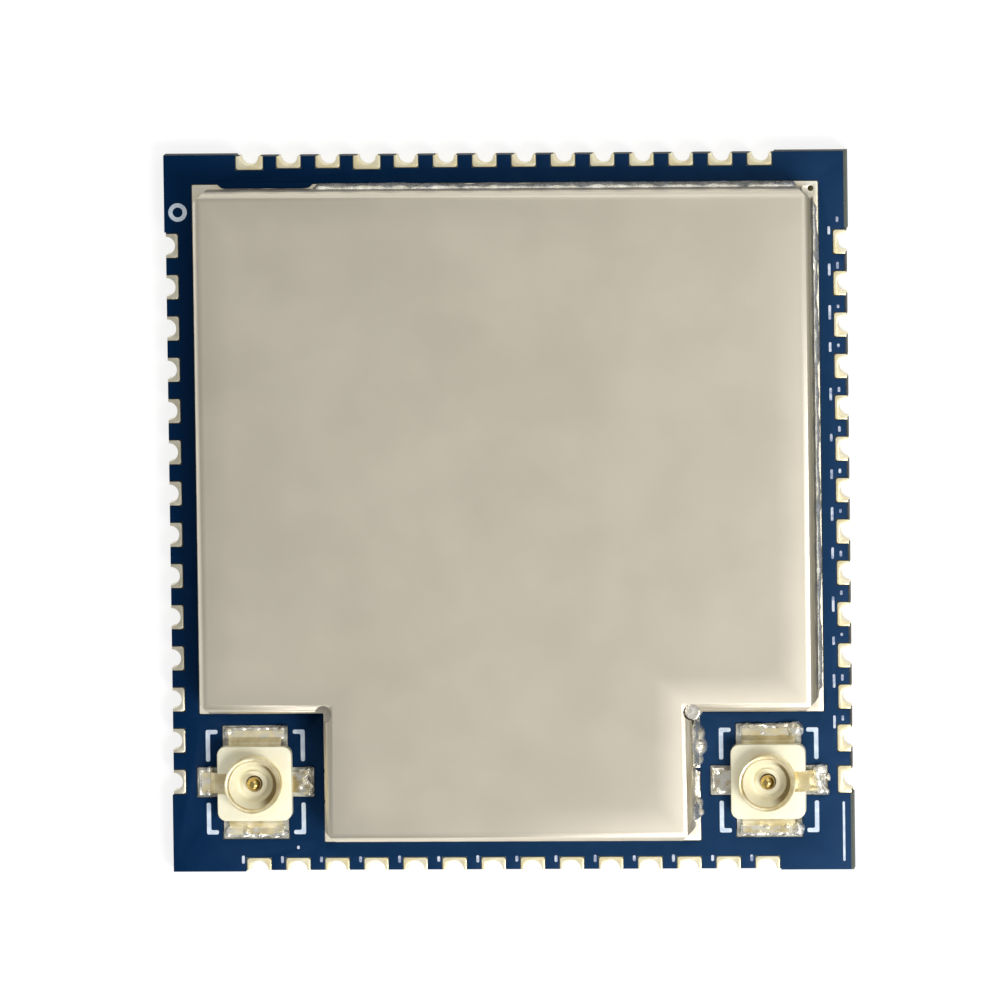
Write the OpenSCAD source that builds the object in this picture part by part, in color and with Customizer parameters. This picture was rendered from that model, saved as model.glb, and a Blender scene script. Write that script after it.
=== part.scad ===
// Surface-mount wireless module: a castellated board under a folded shield can, with two miniature
// coaxial antenna sockets in the can's front notches. Origin: centre of the board's underside. +Z up,
// +Y towards the rear edge, which holds the pin-one mark at its left end.

/* [Circuit board] */
// Width of the board, left to right
board_w = 24; // [23:0.1:30]
// Length of the board, front to rear
board_l = 25.3; // [24.4:0.1:32]
// Thickness of the board
board_t = 0.8; // [0.6:0.1:1.6]
// How far the castellated stretches are milled back from the board's corners
edge_setback = 0.05; // [0.02:0.01:0.15]

/* [Edge pads] */
// Pitch of the pads along the front and rear edges
pad_pitch_w = 1.38; // [1.27:0.01:2]
// Pitch of the pads along the left and right edges
pad_pitch_l = 1.456; // [1.27:0.001:2]
// Smallest distance from a board corner to the first pad's centre
pad_corner_gap = 3; // [2.6:0.1:4]
// Width of a pad's lands along the edge
pad_w = 0.84; // [0.8:0.01:1]
// Depth of the upper land from the edge
pad_d = 0.42; // [0.4:0.01:0.6]
// Depth of the lower land from the edge
pad_under_d = 1.1; // [0.7:0.05:1.5]
// Extra width and half the extra depth of the grounded pads
ground_extra = 0.1; // [0.02:0.01:0.2]
// Radius of the plated half-hole
half_hole_r = 0.32; // [0.25:0.01:0.34]
// Thickness of the plating in the half-hole
plating_t = 0.05; // [0.02:0.01:0.07]
// Thickness of every copper land
copper_t = 0.035; // [0.02:0.005:0.07]

/* [Shield can] */
// From the board's side edge to the can's outer face
can_inset_x = 1.15; // [1:0.05:1.6]
// From the board's front and rear edges to the can's outer face
can_inset_y = 1.2; // [1.05:0.05:1.6]
// Height of the can above its land
can_h = 1.85; // [1.6:0.05:2.6]
// Thickness of the can's sheet
sheet_t = 0.2; // [0.12:0.01:0.3]
// Inner radius of the can's folds
fold_r = 0.15; // [0.1:0.01:0.25]
// Length of the 45 degree cut across each outer corner, along either edge
corner_cut = 0.38; // [0.3:0.01:0.5]
// Radius of the relief hole at the two inner corners
inner_relief_r = 0.3; // [0.2:0.01:0.4]
// Taper of a wall's foot at an outer corner
foot_cut = 0.15; // [0.05:0.01:0.3]
// How far the can's land reaches out beyond the wall
land_out = 0.15; // [0.08:0.01:0.2]
// How far the can's land reaches in past the wall
land_in = 0.3; // [0.1:0.05:0.6]
// Width of the two mask breaks across the land beside each socket
land_break = 0.13; // [0.1:0.01:0.2]
// Length of the land between those breaks
feed_land_l = 0.95; // [0.8:0.05:1.2]
// From a socket's centre forwards to the middle of that land
feed_shift = 0.16; // [0:0.01:0.3]
// Radius of the ground via in the land's rear right corner
via_r = 0.1; // [0.05:0.01:0.12]
// From the land's corner to the via's centre, along either edge
via_inset = 0.25; // [0.2:0.01:0.3]
// Width of the solder fillet at the can's foot
fillet_w = 0.12; // [0.05:0.01:0.15]
// Height of the solder fillet at the can's foot
fillet_h = 0.28; // [0.1:0.01:0.4]
// Radius of the solder lumps beside the right socket
lump_r = 0.34; // [0.25:0.01:0.4]
// Spacing of those lumps along the wall
lump_pitch = 0.55; // [0.45:0.01:0.6]
// How far the lumps' centres lie out from the wall
lump_out = 0.07; // [0:0.01:0.12]

/* [Antenna sockets] */
// From the board's side edge to a socket's centre
socket_inset_x = 2.95; // [2.8:0.05:3.2]
// From the board's front edge to a socket's centre
socket_inset_y = 3.17; // [3:0.05:3.6]
// From a socket's centre to the can's notch walls
notch_gap = 2.57; // [2.5:0.01:2.9]
// Width of the square insulator
insulator_w = 2.62; // [2.5:0.02:2.8]
// Corner radius of the insulator
insulator_r = 0.3; // [0.15:0.05:0.4]
// Height of the insulator's block
insulator_h = 0.6; // [0.5:0.05:0.75]
// Height of the insulator's floor inside the outer contact
floor_h = 0.42; // [0.36:0.02:0.5]
// Height of the insulator's collar around the centre contact
collar_h = 0.1; // [0.04:0.02:0.2]
// Radial thickness of that collar
collar_t = 0.2; // [0.1:0.02:0.3]
// Outer radius of the outer contact
ring_r = 1; // [0.9:0.01:1.05]
// Wall of the outer contact
ring_t = 0.16; // [0.1:0.01:0.2]
// Height of the outer contact above the lands
ring_h = 1.25; // [1:0.05:1.6]
// Extra radius at the foot of the outer contact's tapered root, which the insulator holds
root_t = 0.06; // [0.02:0.01:0.08]
// Depth of the rounded latch groove in the outer contact
groove_d = 0.05; // [0.02:0.01:0.07]
// Height of the latch groove
groove_h = 0.25; // [0.15:0.05:0.3]
// Height of the lip above the latch groove
lip_h = 0.2; // [0.15:0.01:0.3]
// Chamfer at the contact's mouth
mouth_chamfer = 0.05; // [0.02:0.01:0.06]
// Radius of the centre contact
pin_r = 0.25; // [0.2:0.01:0.3]
// Height of the centre contact above the lands
pin_h = 1; // [0.8:0.05:1.1]
// Thickness of the contacts' strip
strip_t = 0.12; // [0.08:0.01:0.13]
// Height of the outer contact's strip inside the insulator
strip_z = 0.17; // [0.16:0.01:0.2]
// Width of the front and rear ground tabs
wide_tab_w = 1.85; // [1.6:0.05:2]
// Width of the outer ground tab and of the centre contact's tail
narrow_tab_w = 0.72; // [0.6:0.02:0.8]
// Reach of the front and rear tabs from the socket's centre
wide_reach = 1.84; // [1.75:0.02:1.9]
// Reach of the outer tab and of the tail from the socket's centre
narrow_reach = 1.9; // [1.75:0.05:2]
// Width of the front and rear lands
wide_land_w = 2.3; // [2.1:0.05:2.4]
// Width of the outer and inner lands
narrow_land_w = 1.04; // [0.96:0.02:1.2]
// How far the lands reach beyond their tabs
land_margin = 0.16; // [0.1:0.01:0.2]
// How far the lands reach under the insulator
land_under = 0.3; // [0.1:0.05:0.4]
// Height of the solder beside a tab's foot
bed_h = 0.11; // [0.05:0.01:0.13]
// Radius of the solder heaps at a tab's corners
heap_r = 0.19; // [0.15:0.01:0.22]

/* [Legend] */
// Thickness of the printed ink
ink_t = 0.02; // [0.01:0.005:0.03]
// Width of the printed lines
ink_line = 0.15; // [0.1:0.01:0.2]
// Outer width of the bracket marks round a socket
bracket_w = 3.5; // [3.3:0.05:3.7]
// Outer length of the bracket marks round a socket
bracket_l = 3.7; // [3.4:0.05:3.9]
// Length of a bracket's long arm
bracket_arm = 1.12; // [0.8:0.02:1.2]
// Length of a bracket's short arm
bracket_foot = 0.42; // [0.2:0.02:0.5]
// Outer radius of the pin-one ring
mark_r = 0.325; // [0.25:0.005:0.4]
// From the board's left edge to the pin-one ring's centre
mark_inset_x = 0.48; // [0.42:0.01:0.55]
// From the board's rear edge to the pin-one ring's centre
mark_inset_y = 2.01; // [1.5:0.01:2.2]

/* [Radio parts] */
// Side of the square radio chip
radio_w = 8; // [6:0.1:8.4]
// Height of the radio chip
radio_h = 0.85; // [0.7:0.05:1]
// Width of the memory chip
memory_w = 4; // [3:0.1:4.5]
// Length of the memory chip
memory_l = 5; // [4:0.1:6]
// Height of the memory chip
memory_h = 0.75; // [0.6:0.05:1]
// Side of a square front-end chip
front_end_w = 2.5; // [2:0.1:2.6]
// Height of a front-end chip
front_end_h = 0.55; // [0.4:0.05:0.8]
// Side of the square regulator chip
regulator_w = 2.6; // [2:0.1:3]
// Height of the regulator chip
regulator_h = 0.75; // [0.5:0.05:1]
// Pitch of the chips' terminals
terminal_pitch = 0.5; // [0.4:0.05:0.65]
// Width of a chip terminal
terminal_w = 0.25; // [0.18:0.01:0.3]
// Length of a chip terminal under the body
terminal_l = 0.4; // [0.3:0.05:0.5]
// Thickness of a chip terminal
terminal_t = 0.2; // [0.1:0.05:0.25]
// Width of a band filter
filter_w = 1.25; // [0.8:0.05:1.3]
// Length of a band filter
filter_l = 2; // [1.6:0.1:2.4]
// Height of a band filter
filter_h = 0.7; // [0.5:0.05:0.9]
// Side of the square power inductor
inductor_w = 3; // [2:0.1:3.4]
// Height of the power inductor
inductor_h = 1.15; // [0.8:0.05:1.2]
// Thickness of the inductor's two flanges
flange_t = 0.28; // [0.2:0.02:0.35]
// Step from the inductor's flanges in to its drum, and the radius of their corners
flange_step = 0.25; // [0.15:0.05:0.4]
// Width of the crystal's package
crystal_w = 3.2; // [2.5:0.1:3.4]
// Length of the crystal's package
crystal_l = 2.5; // [2:0.1:2.6]
// Height of the crystal's ceramic base
crystal_base_h = 0.45; // [0.3:0.05:0.6]
// Height of the crystal's metal lid
crystal_lid_h = 0.25; // [0.15:0.05:0.3]
// Step from the crystal's base in to its lid
crystal_step = 0.15; // [0.1:0.01:0.3]
// Length of a capacitor or resistor
passive_l = 1.1; // [0.8:0.05:1.2]
// Width of a capacitor or resistor
passive_w = 0.55; // [0.4:0.05:0.6]
// Height of a capacitor
capacitor_h = 0.55; // [0.4:0.05:0.7]
// Height of a resistor
resistor_h = 0.38; // [0.3:0.02:0.5]
// Length of an end cap
cap_l = 0.25; // [0.15:0.01:0.3]
// Thickness of an end cap's metal
cap_t = 0.03; // [0.02:0.005:0.05]
// Pitch of the capacitors and resistors in their rows
passive_pitch = 1.25; // [1.1:0.05:1.6]
// Free space kept between the parts under the can, and from them to its walls
part_gap = 0.5; // [0.4:0.05:0.6]

/* [Hidden] */
$fn = 48;
over = 0.5;                         // how far a cutting tool runs past what it cuts
top_z = board_t;                    // upper face of the board
land_z = board_t + copper_t;        // upper face of every land

// Pads: as many as fit between the corners, centred on each edge
count_w = floor((board_w - 2 * pad_corner_gap) / pad_pitch_w) + 1;
count_l = floor((board_l - 2 * pad_corner_gap) / pad_pitch_l) + 1;
drill_r = half_hole_r + plating_t;
edge_x = board_w / 2 - edge_setback;
edge_y = board_l / 2 - edge_setback;
milled_w = (count_w - 1) * pad_pitch_w + pad_w + ground_extra;
milled_l = (count_l - 1) * pad_pitch_l + pad_w + ground_extra;
rear_grounds = [0, 3];              // pads counted from the left
front_grounds = [];
left_grounds = [];                  // pads counted from the rear
right_grounds = [count_l - 2, count_l - 1];

// Can: a T-shaped plan, wide at the rear and narrow between the sockets
can_x = board_w / 2 - can_inset_x;
rear_y = board_l / 2 - can_inset_y;
front_y = -rear_y;
socket_x = board_w / 2 - socket_inset_x;
socket_y = -board_l / 2 + socket_inset_y;
tongue_x = socket_x - notch_gap;
step_y = socket_y + notch_gap;
outer_fold_r = fold_r + sheet_t;
wall_h = can_h - outer_fold_r;
can_corner_count = 8;
inner_corners = [3, 6];             // the two places where the plan turns inwards
feed_y = socket_y - feed_shift;
// Each lump: how many spacings it lies in front of the notch corner, and its share of the radius
lump_rows = [[1.2, 1], [2.2, 1.06], [3.2, 0.94], [6.6, 0.7]];

// Parts under the can: one group behind the front wall, one before the rear wall, the crystal between
inner_x = can_x - sheet_t - part_gap;
inner_y = rear_y - sheet_t - part_gap;
capacitor_row_y = inner_y - passive_l / 2;
radio_at = [0, inner_y - passive_l - part_gap - radio_w / 2];
resistor_row_y = radio_at.y - radio_w / 2 - part_gap - passive_l / 2;
matching_y = passive_l / 2 - inner_y;
front_end_y = matching_y + (passive_l + front_end_w) / 2 + part_gap;
crystal_at = [0, (resistor_row_y - passive_l / 2 + front_end_y + front_end_w / 2) / 2];
memory_at = [memory_w / 2 - inner_x, radio_at.y];
power_x = inner_x - max(regulator_w, inductor_w) / 2;
regulator_at = [power_x, radio_at.y + (regulator_w + part_gap) / 2];
inductor_at = [power_x, radio_at.y - (inductor_w + part_gap) / 2];
filter_x = tongue_x - sheet_t - part_gap - filter_w / 2;
front_end_x = filter_x - (filter_w + front_end_w) / 2 - part_gap;
row_count = floor(radio_w / passive_pitch);
terminal_play = terminal_pitch * 1.5; // keeps the end terminals clear of the chip's corners

// Corners of the can's plan moved outwards by g, counter-clockwise from the rear right
function plan(g) = [
    [can_x + g, rear_y + g], [-can_x - g, rear_y + g],
    [-can_x - g, step_y - g], [-tongue_x - g, step_y - g],
    [-tongue_x - g, front_y - g], [tongue_x + g, front_y - g],
    [tongue_x + g, step_y - g], [can_x + g, step_y - g]
];
function next_corner(i) = (i + 1) % can_corner_count;
function is_inner(i) = len(search(i, inner_corners)) > 0;
function edge_length(i) = norm(plan(0)[next_corner(i)] - plan(0)[i]);
function edge_angle(i) =
    let (d = plan(0)[next_corner(i)] - plan(0)[i]) atan2(d.y, d.x);
// A wall's end, from its fold down to its foot: mitred at an inner corner, where two flaps share
// the flat sheet, and tapered at an outer corner
function wall_end(i) = is_inner(i)
    ? [[inner_relief_r, wall_h], [inner_relief_r + wall_h, 0]]
    : [[corner_cut, wall_h], [corner_cut, foot_cut], [corner_cut + foot_cut, 0]];
function foot_start(i) = is_inner(i) ? inner_relief_r + wall_h : corner_cut + foot_cut;
function reversed(list) = [for (i = [len(list) - 1 : -1 : 0]) list[i]];

// ---- Shared shapes ----

module bar(x, y, z) {
    // A block centred in x and y, standing on z = 0
    translate([-x / 2, -y / 2, 0]) cube([x, y, z]);
}

module rounded_square(w, r) {
    square([w - 2 * r, w], center = true);
    square([w, w - 2 * r], center = true);
    for (x = [-1, 1], y = [-1, 1])
        translate([x * (w / 2 - r), y * (w / 2 - r)]) circle(r = r);
}

module mirrored_pair() {
    children();
    mirror([1, 0, 0]) children();
}

module along_edge(i) {
    // Local x runs along edge i of the can's plan, local y points into the can
    translate([plan(0)[i].x, plan(0)[i].y, land_z]) rotate([0, 0, edge_angle(i)]) children();
}

// ---- Board and pads ----

module pad_places(count, pitch) {
    // Local x runs along the edge, local y points off the board
    for (i = [0 : count - 1])
        translate([(i - (count - 1) / 2) * pitch, 0, 0]) {
            $pad = i;
            children();
        }
}

module rear_places() { translate([0, edge_y, 0]) pad_places(count_w, pad_pitch_w) children(); }
module front_places() {
    translate([0, -edge_y, 0]) mirror([0, 1, 0]) pad_places(count_w, pad_pitch_w) children();
}
module left_places() {
    // Counted from the rear
    translate([-edge_x, 0, 0]) mirror([0, 1, 0]) rotate([0, 0, 90])
        pad_places(count_l, pad_pitch_l) children();
}
module right_places() {
    translate([edge_x, 0, 0]) rotate([0, 0, -90]) pad_places(count_l, pad_pitch_l) children();
}

function is_ground(grounds) = len(search($pad, grounds)) > 0;
function land_width(grounds) = pad_w + (is_ground(grounds) ? ground_extra : 0);
function land_depth(grounds) = pad_d + (is_ground(grounds) ? ground_extra / 2 : 0);

module lower_land(grounds) {
    w = land_width(grounds);
    translate([-w / 2, -pad_under_d, 0]) cube([w, pad_under_d, copper_t]);
}

module drilled() {
    translate([0, 0, -over]) cylinder(r = drill_r, h = board_t + 2 * over);
}

module edge_pad(grounds) {
    // Upper land, plated half-hole and lower land in one piece of copper
    w = land_width(grounds);
    d = land_depth(grounds);
    difference() {
        union() {
            lower_land(grounds);
            translate([-w / 2, -d, board_t]) cube([w, d, copper_t]);
            intersection() {
                cylinder(r = drill_r, h = board_t);
                translate([-w / 2, -w, 0]) cube([w, w, board_t]);
            }
        }
        translate([0, 0, -over]) cylinder(r = half_hole_r, h = board_t + 2 * over);
    }
}

module milled_edge(length) {
    translate([-length / 2, 0, -over]) cube([length, edge_setback + over, board_t + 2 * over]);
}

module ground_via(z, h) {
    translate([can_x + land_out - via_inset, rear_y + land_out - via_inset, z])
        cylinder(r = via_r, h = h);
}

module circuit_board() {
    color("#12315c") difference() {
        bar(board_w, board_l, board_t);
        translate([0, edge_y, 0]) milled_edge(milled_w);
        translate([0, -edge_y, 0]) rotate([0, 0, 180]) milled_edge(milled_w);
        translate([-edge_x, 0, 0]) rotate([0, 0, 90]) milled_edge(milled_l);
        translate([edge_x, 0, 0]) rotate([0, 0, -90]) milled_edge(milled_l);
        rear_places() { drilled(); lower_land(rear_grounds); }
        front_places() { drilled(); lower_land(front_grounds); }
        left_places() { drilled(); lower_land(left_grounds); }
        right_places() { drilled(); lower_land(right_grounds); }
        ground_via(-over, board_t + 2 * over);
    }
}

module edge_pads_rear() { color("#e8dcb4") rear_places() edge_pad(rear_grounds); }
module edge_pads_front() { color("#e8dcb4") front_places() edge_pad(front_grounds); }
module edge_pads_left() { color("#e8dcb4") left_places() edge_pad(left_grounds); }
module edge_pads_right() { color("#e8dcb4") right_places() edge_pad(right_grounds); }

// ---- Shield can, its land and its solder ----

module land_breaks(h) {
    // Mask strips across the land beside each socket
    mirrored_pair()
        for (s = [-1, 1])
            translate([tongue_x, feed_y + s * (feed_land_l + land_break) / 2, 0])
                bar(2 * (land_out + sheet_t + land_in), land_break, h);
}

module shield_land() {
    color("#ece2c0") difference() {
        translate([0, 0, top_z]) linear_extrude(copper_t) difference() {
            polygon(plan(land_out));
            polygon(plan(-sheet_t - land_in));
        }
        translate([0, 0, top_z - over]) land_breaks(copper_t + 2 * over);
        ground_via(top_z - over, copper_t + 2 * over);
    }
}

module can_wall(i) {
    length = edge_length(i);
    far_end = [for (p = reversed(wall_end(next_corner(i)))) [length - p.x, p.y]];
    along_edge(i) translate([0, sheet_t, 0]) rotate([90, 0, 0])
        linear_extrude(sheet_t) polygon(concat(wall_end(i), far_end));
}

module fold_section() {
    // Quarter ring between the upright wall and the flat top
    translate([outer_fold_r, wall_h]) difference() {
        circle(r = outer_fold_r);
        circle(r = fold_r);
        translate([0, -outer_fold_r]) square(2 * outer_fold_r);
        translate([-outer_fold_r, -2 * outer_fold_r]) square(2 * outer_fold_r);
    }
}

module can_fold(i) {
    // The fold along edge i, mitred against its two neighbours
    rim = plan(0);
    flat = plan(-outer_fold_r);
    j = next_corner(i);
    intersection() {
        along_edge(i) translate([-outer_fold_r, 0, 0]) rotate([90, 0, 90])
            linear_extrude(edge_length(i) + 2 * outer_fold_r) fold_section();
        translate([0, 0, land_z]) linear_extrude(can_h)
            polygon([rim[i], rim[j], flat[j], flat[i]]);
    }
}

module corner_cutter(i) {
    // Cuts the outer corner i at 45 degrees
    translate([plan(0)[i].x, plan(0)[i].y, land_z - over]) rotate([0, 0, edge_angle(i)])
        linear_extrude(can_h + 2 * over)
            polygon([[-over, -over], [corner_cut + over, -over], [-over, corner_cut + over]]);
}

module shield_can() {
    color("#c8bfa6") difference() {
        union() {
            translate([0, 0, land_z + can_h - sheet_t])
                linear_extrude(sheet_t) polygon(plan(-outer_fold_r));
            for (i = [0 : can_corner_count - 1]) {
                can_wall(i);
                can_fold(i);
            }
        }
        for (i = [0 : can_corner_count - 1])
            if (is_inner(i))
                translate([plan(0)[i].x, plan(0)[i].y, land_z - over])
                    cylinder(r = inner_relief_r, h = can_h + 2 * over);
            else
                corner_cutter(i);
    }
}

module fillet_section() {
    // Hollow-faced fillet between the land and the wall, outside the can
    steps = 6;
    polygon(concat([[0, 0]], [for (k = [0 : steps])
        let (a = 90 * k / steps) [-fillet_w * (1 - sin(a)), fillet_h * (1 - cos(a))]]));
}

module solder_lumps() {
    // Solder heaped between the can's right notch wall and its land
    intersection() {
        for (row = lump_rows)
            translate([tongue_x + lump_out, step_y - row[0] * lump_pitch, land_z])
                sphere(r = lump_r * row[1]);
        translate([tongue_x, front_y, land_z])
            cube([land_out + lump_r, step_y - front_y, lump_r * 2]);
    }
}

module shield_solder() {
    color("#cdd0cc") difference() {
        union() {
            for (i = [0 : can_corner_count - 1]) {
                start = foot_start(i);
                length = edge_length(i) - start - foot_start(next_corner(i));
                along_edge(i) translate([start, 0, 0]) rotate([90, 0, 90])
                    linear_extrude(length) fillet_section();
            }
            solder_lumps();
        }
        translate([0, 0, land_z - over]) land_breaks(can_h);
    }
}

// ---- Antenna sockets: local +x is the side of the narrow ground tab, z = 0 is the lands' top ----

module at_left_socket() { translate([-socket_x, socket_y, land_z]) rotate([0, 0, 180]) children(); }
module at_right_socket() { translate([socket_x, socket_y, land_z]) children(); }

module on_four_sides(wide, narrow) {
    // Front and rear copies of the first child, outer and inner copies of the second
    for (a = [90, 270])
        rotate([0, 0, a]) {
            $across = wide;
            children(0);
        }
    for (a = [0, 180])
        rotate([0, 0, a]) {
            $across = narrow;
            children(1);
        }
}

module socket_land(reach) {
    inner = insulator_w / 2 - land_under;
    translate([inner, -$across / 2, -copper_t])
        cube([reach + land_margin - inner, $across, copper_t]);
}

module socket_lands() {
    color("#e0d8b8") on_four_sides(wide_land_w, narrow_land_w) {
        socket_land(wide_reach);
        socket_land(narrow_reach);
    }
}

module joggled_tab(reach, w) {
    // A strip that leaves the outer contact, clears the insulator and steps down to its land
    knee = insulator_w / 2 + strip_t / 2;
    foot = knee + strip_z;
    translate([0, w / 2, 0]) rotate([90, 0, 0]) linear_extrude(w) polygon([
        [0, strip_z], [knee, strip_z], [foot, 0], [reach, 0],
        [reach, strip_t], [foot + strip_t / 2, strip_t], [knee + strip_t / 2, strip_z + strip_t],
        [0, strip_z + strip_t]
    ]);
}

module ground_tabs() {
    // The outer contact's three tabs, joined to its round wall halfway through the wall
    difference() {
        union() {
            for (a = [90, 270]) rotate([0, 0, a]) joggled_tab(wide_reach, wide_tab_w);
            joggled_tab(narrow_reach, narrow_tab_w);
        }
        translate([0, 0, -over]) cylinder(r = ring_r - ring_t / 2, h = ring_h);
    }
}

module contact_wall() {
    // Section of the outer contact's round wall: tapered root, exposed wall with a rounded latch
    // groove, and chamfered mouth
    steps = 8;
    inner = ring_r - ring_t;
    groove_z = ring_h - lip_h - groove_h / 2;
    groove = [for (k = [0 : steps])
        let (a = 180 * k / steps) [ring_r - groove_d * sin(a), groove_z - groove_h / 2 * cos(a)]];
    polygon(concat(
        [[inner, strip_z], [ring_r + root_t, strip_z], [ring_r, insulator_h]],
        groove,
        [[ring_r, ring_h - mouth_chamfer], [ring_r - mouth_chamfer, ring_h],
            [inner + mouth_chamfer, ring_h], [inner, ring_h - mouth_chamfer]]
    ));
}

module outer_contact() {
    color("#d9c486") {
        rotate_extrude() contact_wall();
        ground_tabs();
    }
}

module centre_contact() {
    // A domed pin on a flat tail that runs out under the insulator to the inner land
    color("#dcc27a") union() {
        rotate_extrude() intersection() {
            union() {
                square([pin_r, pin_h - pin_r]);
                translate([0, pin_h - pin_r]) circle(r = pin_r);
            }
            square([pin_r, pin_h]);
        }
        translate([-narrow_reach, -narrow_tab_w / 2, 0])
            cube([narrow_reach, narrow_tab_w, strip_t]);
    }
}

module insulator() {
    inner = ring_r - ring_t;
    wall_middle = ring_r - ring_t / 2;
    color("#efe8cf") difference() {
        linear_extrude(insulator_h) rounded_square(insulator_w, insulator_r);
        // Well inside the outer contact, round the collar
        difference() {
            translate([0, 0, floor_h]) cylinder(r = inner, h = insulator_h);
            cylinder(r = pin_r + collar_t, h = floor_h + collar_h);
        }
        rotate_extrude() contact_wall();
        ground_tabs();
        // Window over the narrow tab
        translate([wall_middle, -narrow_tab_w / 2, strip_z])
            cube([insulator_w, narrow_tab_w, insulator_h]);
        centre_contact();
    }
}

module solder_bed(reach, w, land_w) {
    // Solder round a tab's foot, heaped at its two corners
    foot = insulator_w / 2 + strip_t / 2 + strip_z;
    difference() {
        union() {
            translate([foot, -(w + land_margin) / 2, 0])
                cube([reach + land_margin / 2 - foot, w + land_margin, bed_h]);
            intersection() {
                for (y = [-1, 1]) translate([reach - heap_r / 2, y * (w - heap_r) / 2, 0])
                    sphere(r = heap_r);
                translate([0, -land_w / 2, 0]) cube([reach + land_margin, land_w, insulator_h]);
            }
        }
        translate([0, -w / 2, -over]) cube([reach, w, over + strip_t]);
    }
}

module socket_solder() {
    color("#d5d4c8") on_four_sides(wide_land_w, narrow_land_w) {
        solder_bed(wide_reach, wide_tab_w, $across);
        solder_bed(narrow_reach, narrow_tab_w, $across);
    }
}

module left_socket_lands() { at_left_socket() socket_lands(); }
module left_socket_insulator() { at_left_socket() insulator(); }
module left_socket_outer_contact() { at_left_socket() outer_contact(); }
module left_socket_centre_contact() { at_left_socket() centre_contact(); }
module left_socket_solder() { at_left_socket() socket_solder(); }
module right_socket_lands() { at_right_socket() socket_lands(); }
module right_socket_insulator() { at_right_socket() insulator(); }
module right_socket_outer_contact() { at_right_socket() outer_contact(); }
module right_socket_centre_contact() { at_right_socket() centre_contact(); }
module right_socket_solder() { at_right_socket() socket_solder(); }

// ---- Legend ----

module bracket() {
    // The mark at a socket's positive x, positive y corner
    translate([bracket_w / 2 - ink_line, bracket_l / 2 - bracket_arm]) square([ink_line, bracket_arm]);
    translate([bracket_w / 2 - bracket_foot, bracket_l / 2 - ink_line])
        square([bracket_foot, ink_line]);
}

module legend_ink() {
    color("#b9cbe0") translate([0, 0, top_z]) linear_extrude(ink_t) {
        mirrored_pair() translate([socket_x, socket_y]) {
            mirrored_pair() bracket();
            mirror([0, 1]) mirrored_pair() bracket();
        }
        translate([mark_inset_x - board_w / 2, board_l / 2 - mark_inset_y]) difference() {
            circle(r = mark_r);
            circle(r = mark_r - ink_line);
        }
    }
}

// ---- Parts on the board under the can ----

module on_board(at) { translate([at.x, at.y, top_z]) children(); }

module terminal_row(side, length, reach) {
    // Terminals along one side of a chip whose half-width there is reach
    count = floor((length - terminal_play) / terminal_pitch) + 1;
    rotate([0, 0, side]) for (i = [0 : count - 1])
        translate([(i - (count - 1) / 2) * terminal_pitch - terminal_w / 2, reach - terminal_l, 0])
            cube([terminal_w, terminal_l, terminal_t]);
}

module four_rows(w) { for (side = [0, 90, 180, 270]) terminal_row(side, w, w / 2); }

module two_rows(w, l) {
    terminal_row(90, l, w / 2);
    terminal_row(270, l, w / 2);
}

module belly_pad(w, l) { bar(w - 4 * terminal_l, l - 4 * terminal_l, terminal_t); }

module radio_terminals() {
    four_rows(radio_w);
    belly_pad(radio_w, radio_w);
}

module memory_terminals() {
    two_rows(memory_w, memory_l);
    belly_pad(memory_w, memory_l);
}

module front_end_terminals() {
    four_rows(front_end_w);
    belly_pad(front_end_w, front_end_w);
}

module regulator_terminals() {
    two_rows(regulator_w, regulator_w);
    belly_pad(regulator_w, regulator_w);
}

module moulded_body(w, l, h) {
    // A moulded chip body with a dimple at its first terminal
    dimple_r = terminal_w;
    difference() {
        bar(w, l, h);
        translate([3 * dimple_r - w / 2, l / 2 - 3 * dimple_r, h - terminal_t / 2])
            cylinder(r = dimple_r, h = h);
        children();
    }
}

module radio_chip() {
    color("#26272b") on_board(radio_at)
        moulded_body(radio_w, radio_w, radio_h) radio_terminals();
}
module memory_chip() {
    color("#2a2a2c") on_board(memory_at)
        moulded_body(memory_w, memory_l, memory_h) memory_terminals();
}
module front_end_chips() {
    color("#2b2c31") for (s = [-1, 1]) on_board([s * front_end_x, front_end_y])
        moulded_body(front_end_w, front_end_w, front_end_h) front_end_terminals();
}
module regulator_chip() {
    color("#29292d") on_board(regulator_at)
        moulded_body(regulator_w, regulator_w, regulator_h) regulator_terminals();
}

module chip_terminals() {
    color("#c9c9c4") {
        on_board(radio_at) radio_terminals();
        on_board(memory_at) memory_terminals();
        for (s = [-1, 1]) on_board([s * front_end_x, front_end_y]) front_end_terminals();
        on_board(regulator_at) regulator_terminals();
    }
}

module band_filters() {
    // Ceramic blocks with a marking groove across one end
    groove = cap_l / 2;
    color("#d8d2c4") for (s = [-1, 1]) on_board([s * filter_x, socket_y])
        difference() {
            bar(filter_w, filter_l, filter_h);
            translate([0, filter_l / 2 - 2 * groove, filter_h - cap_t])
                bar(filter_w + over, groove, filter_h);
        }
}

module power_inductor() {
    // A ferrite drum between two square flanges
    color("#4b4a4a") on_board(inductor_at) {
        for (z = [0, inductor_h - flange_t])
            translate([0, 0, z]) linear_extrude(flange_t) rounded_square(inductor_w, flange_step);
        cylinder(r = inductor_w / 2 - flange_step, h = inductor_h);
    }
}

module crystal_base() {
    color("#6f6a62") on_board(crystal_at) bar(crystal_w, crystal_l, crystal_base_h);
}

module crystal_lid() {
    color("#d2d0c8") on_board(crystal_at) translate([0, 0, crystal_base_h])
        bar(crystal_w - 2 * crystal_step, crystal_l - 2 * crystal_step, crystal_lid_h);
}

module capacitor_places() {
    for (i = [0 : row_count - 1])
        on_board([(i - (row_count - 1) / 2) * passive_pitch, capacitor_row_y]) children();
    for (s = [-1, 1]) on_board([s * front_end_x, matching_y]) children();
}

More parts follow.
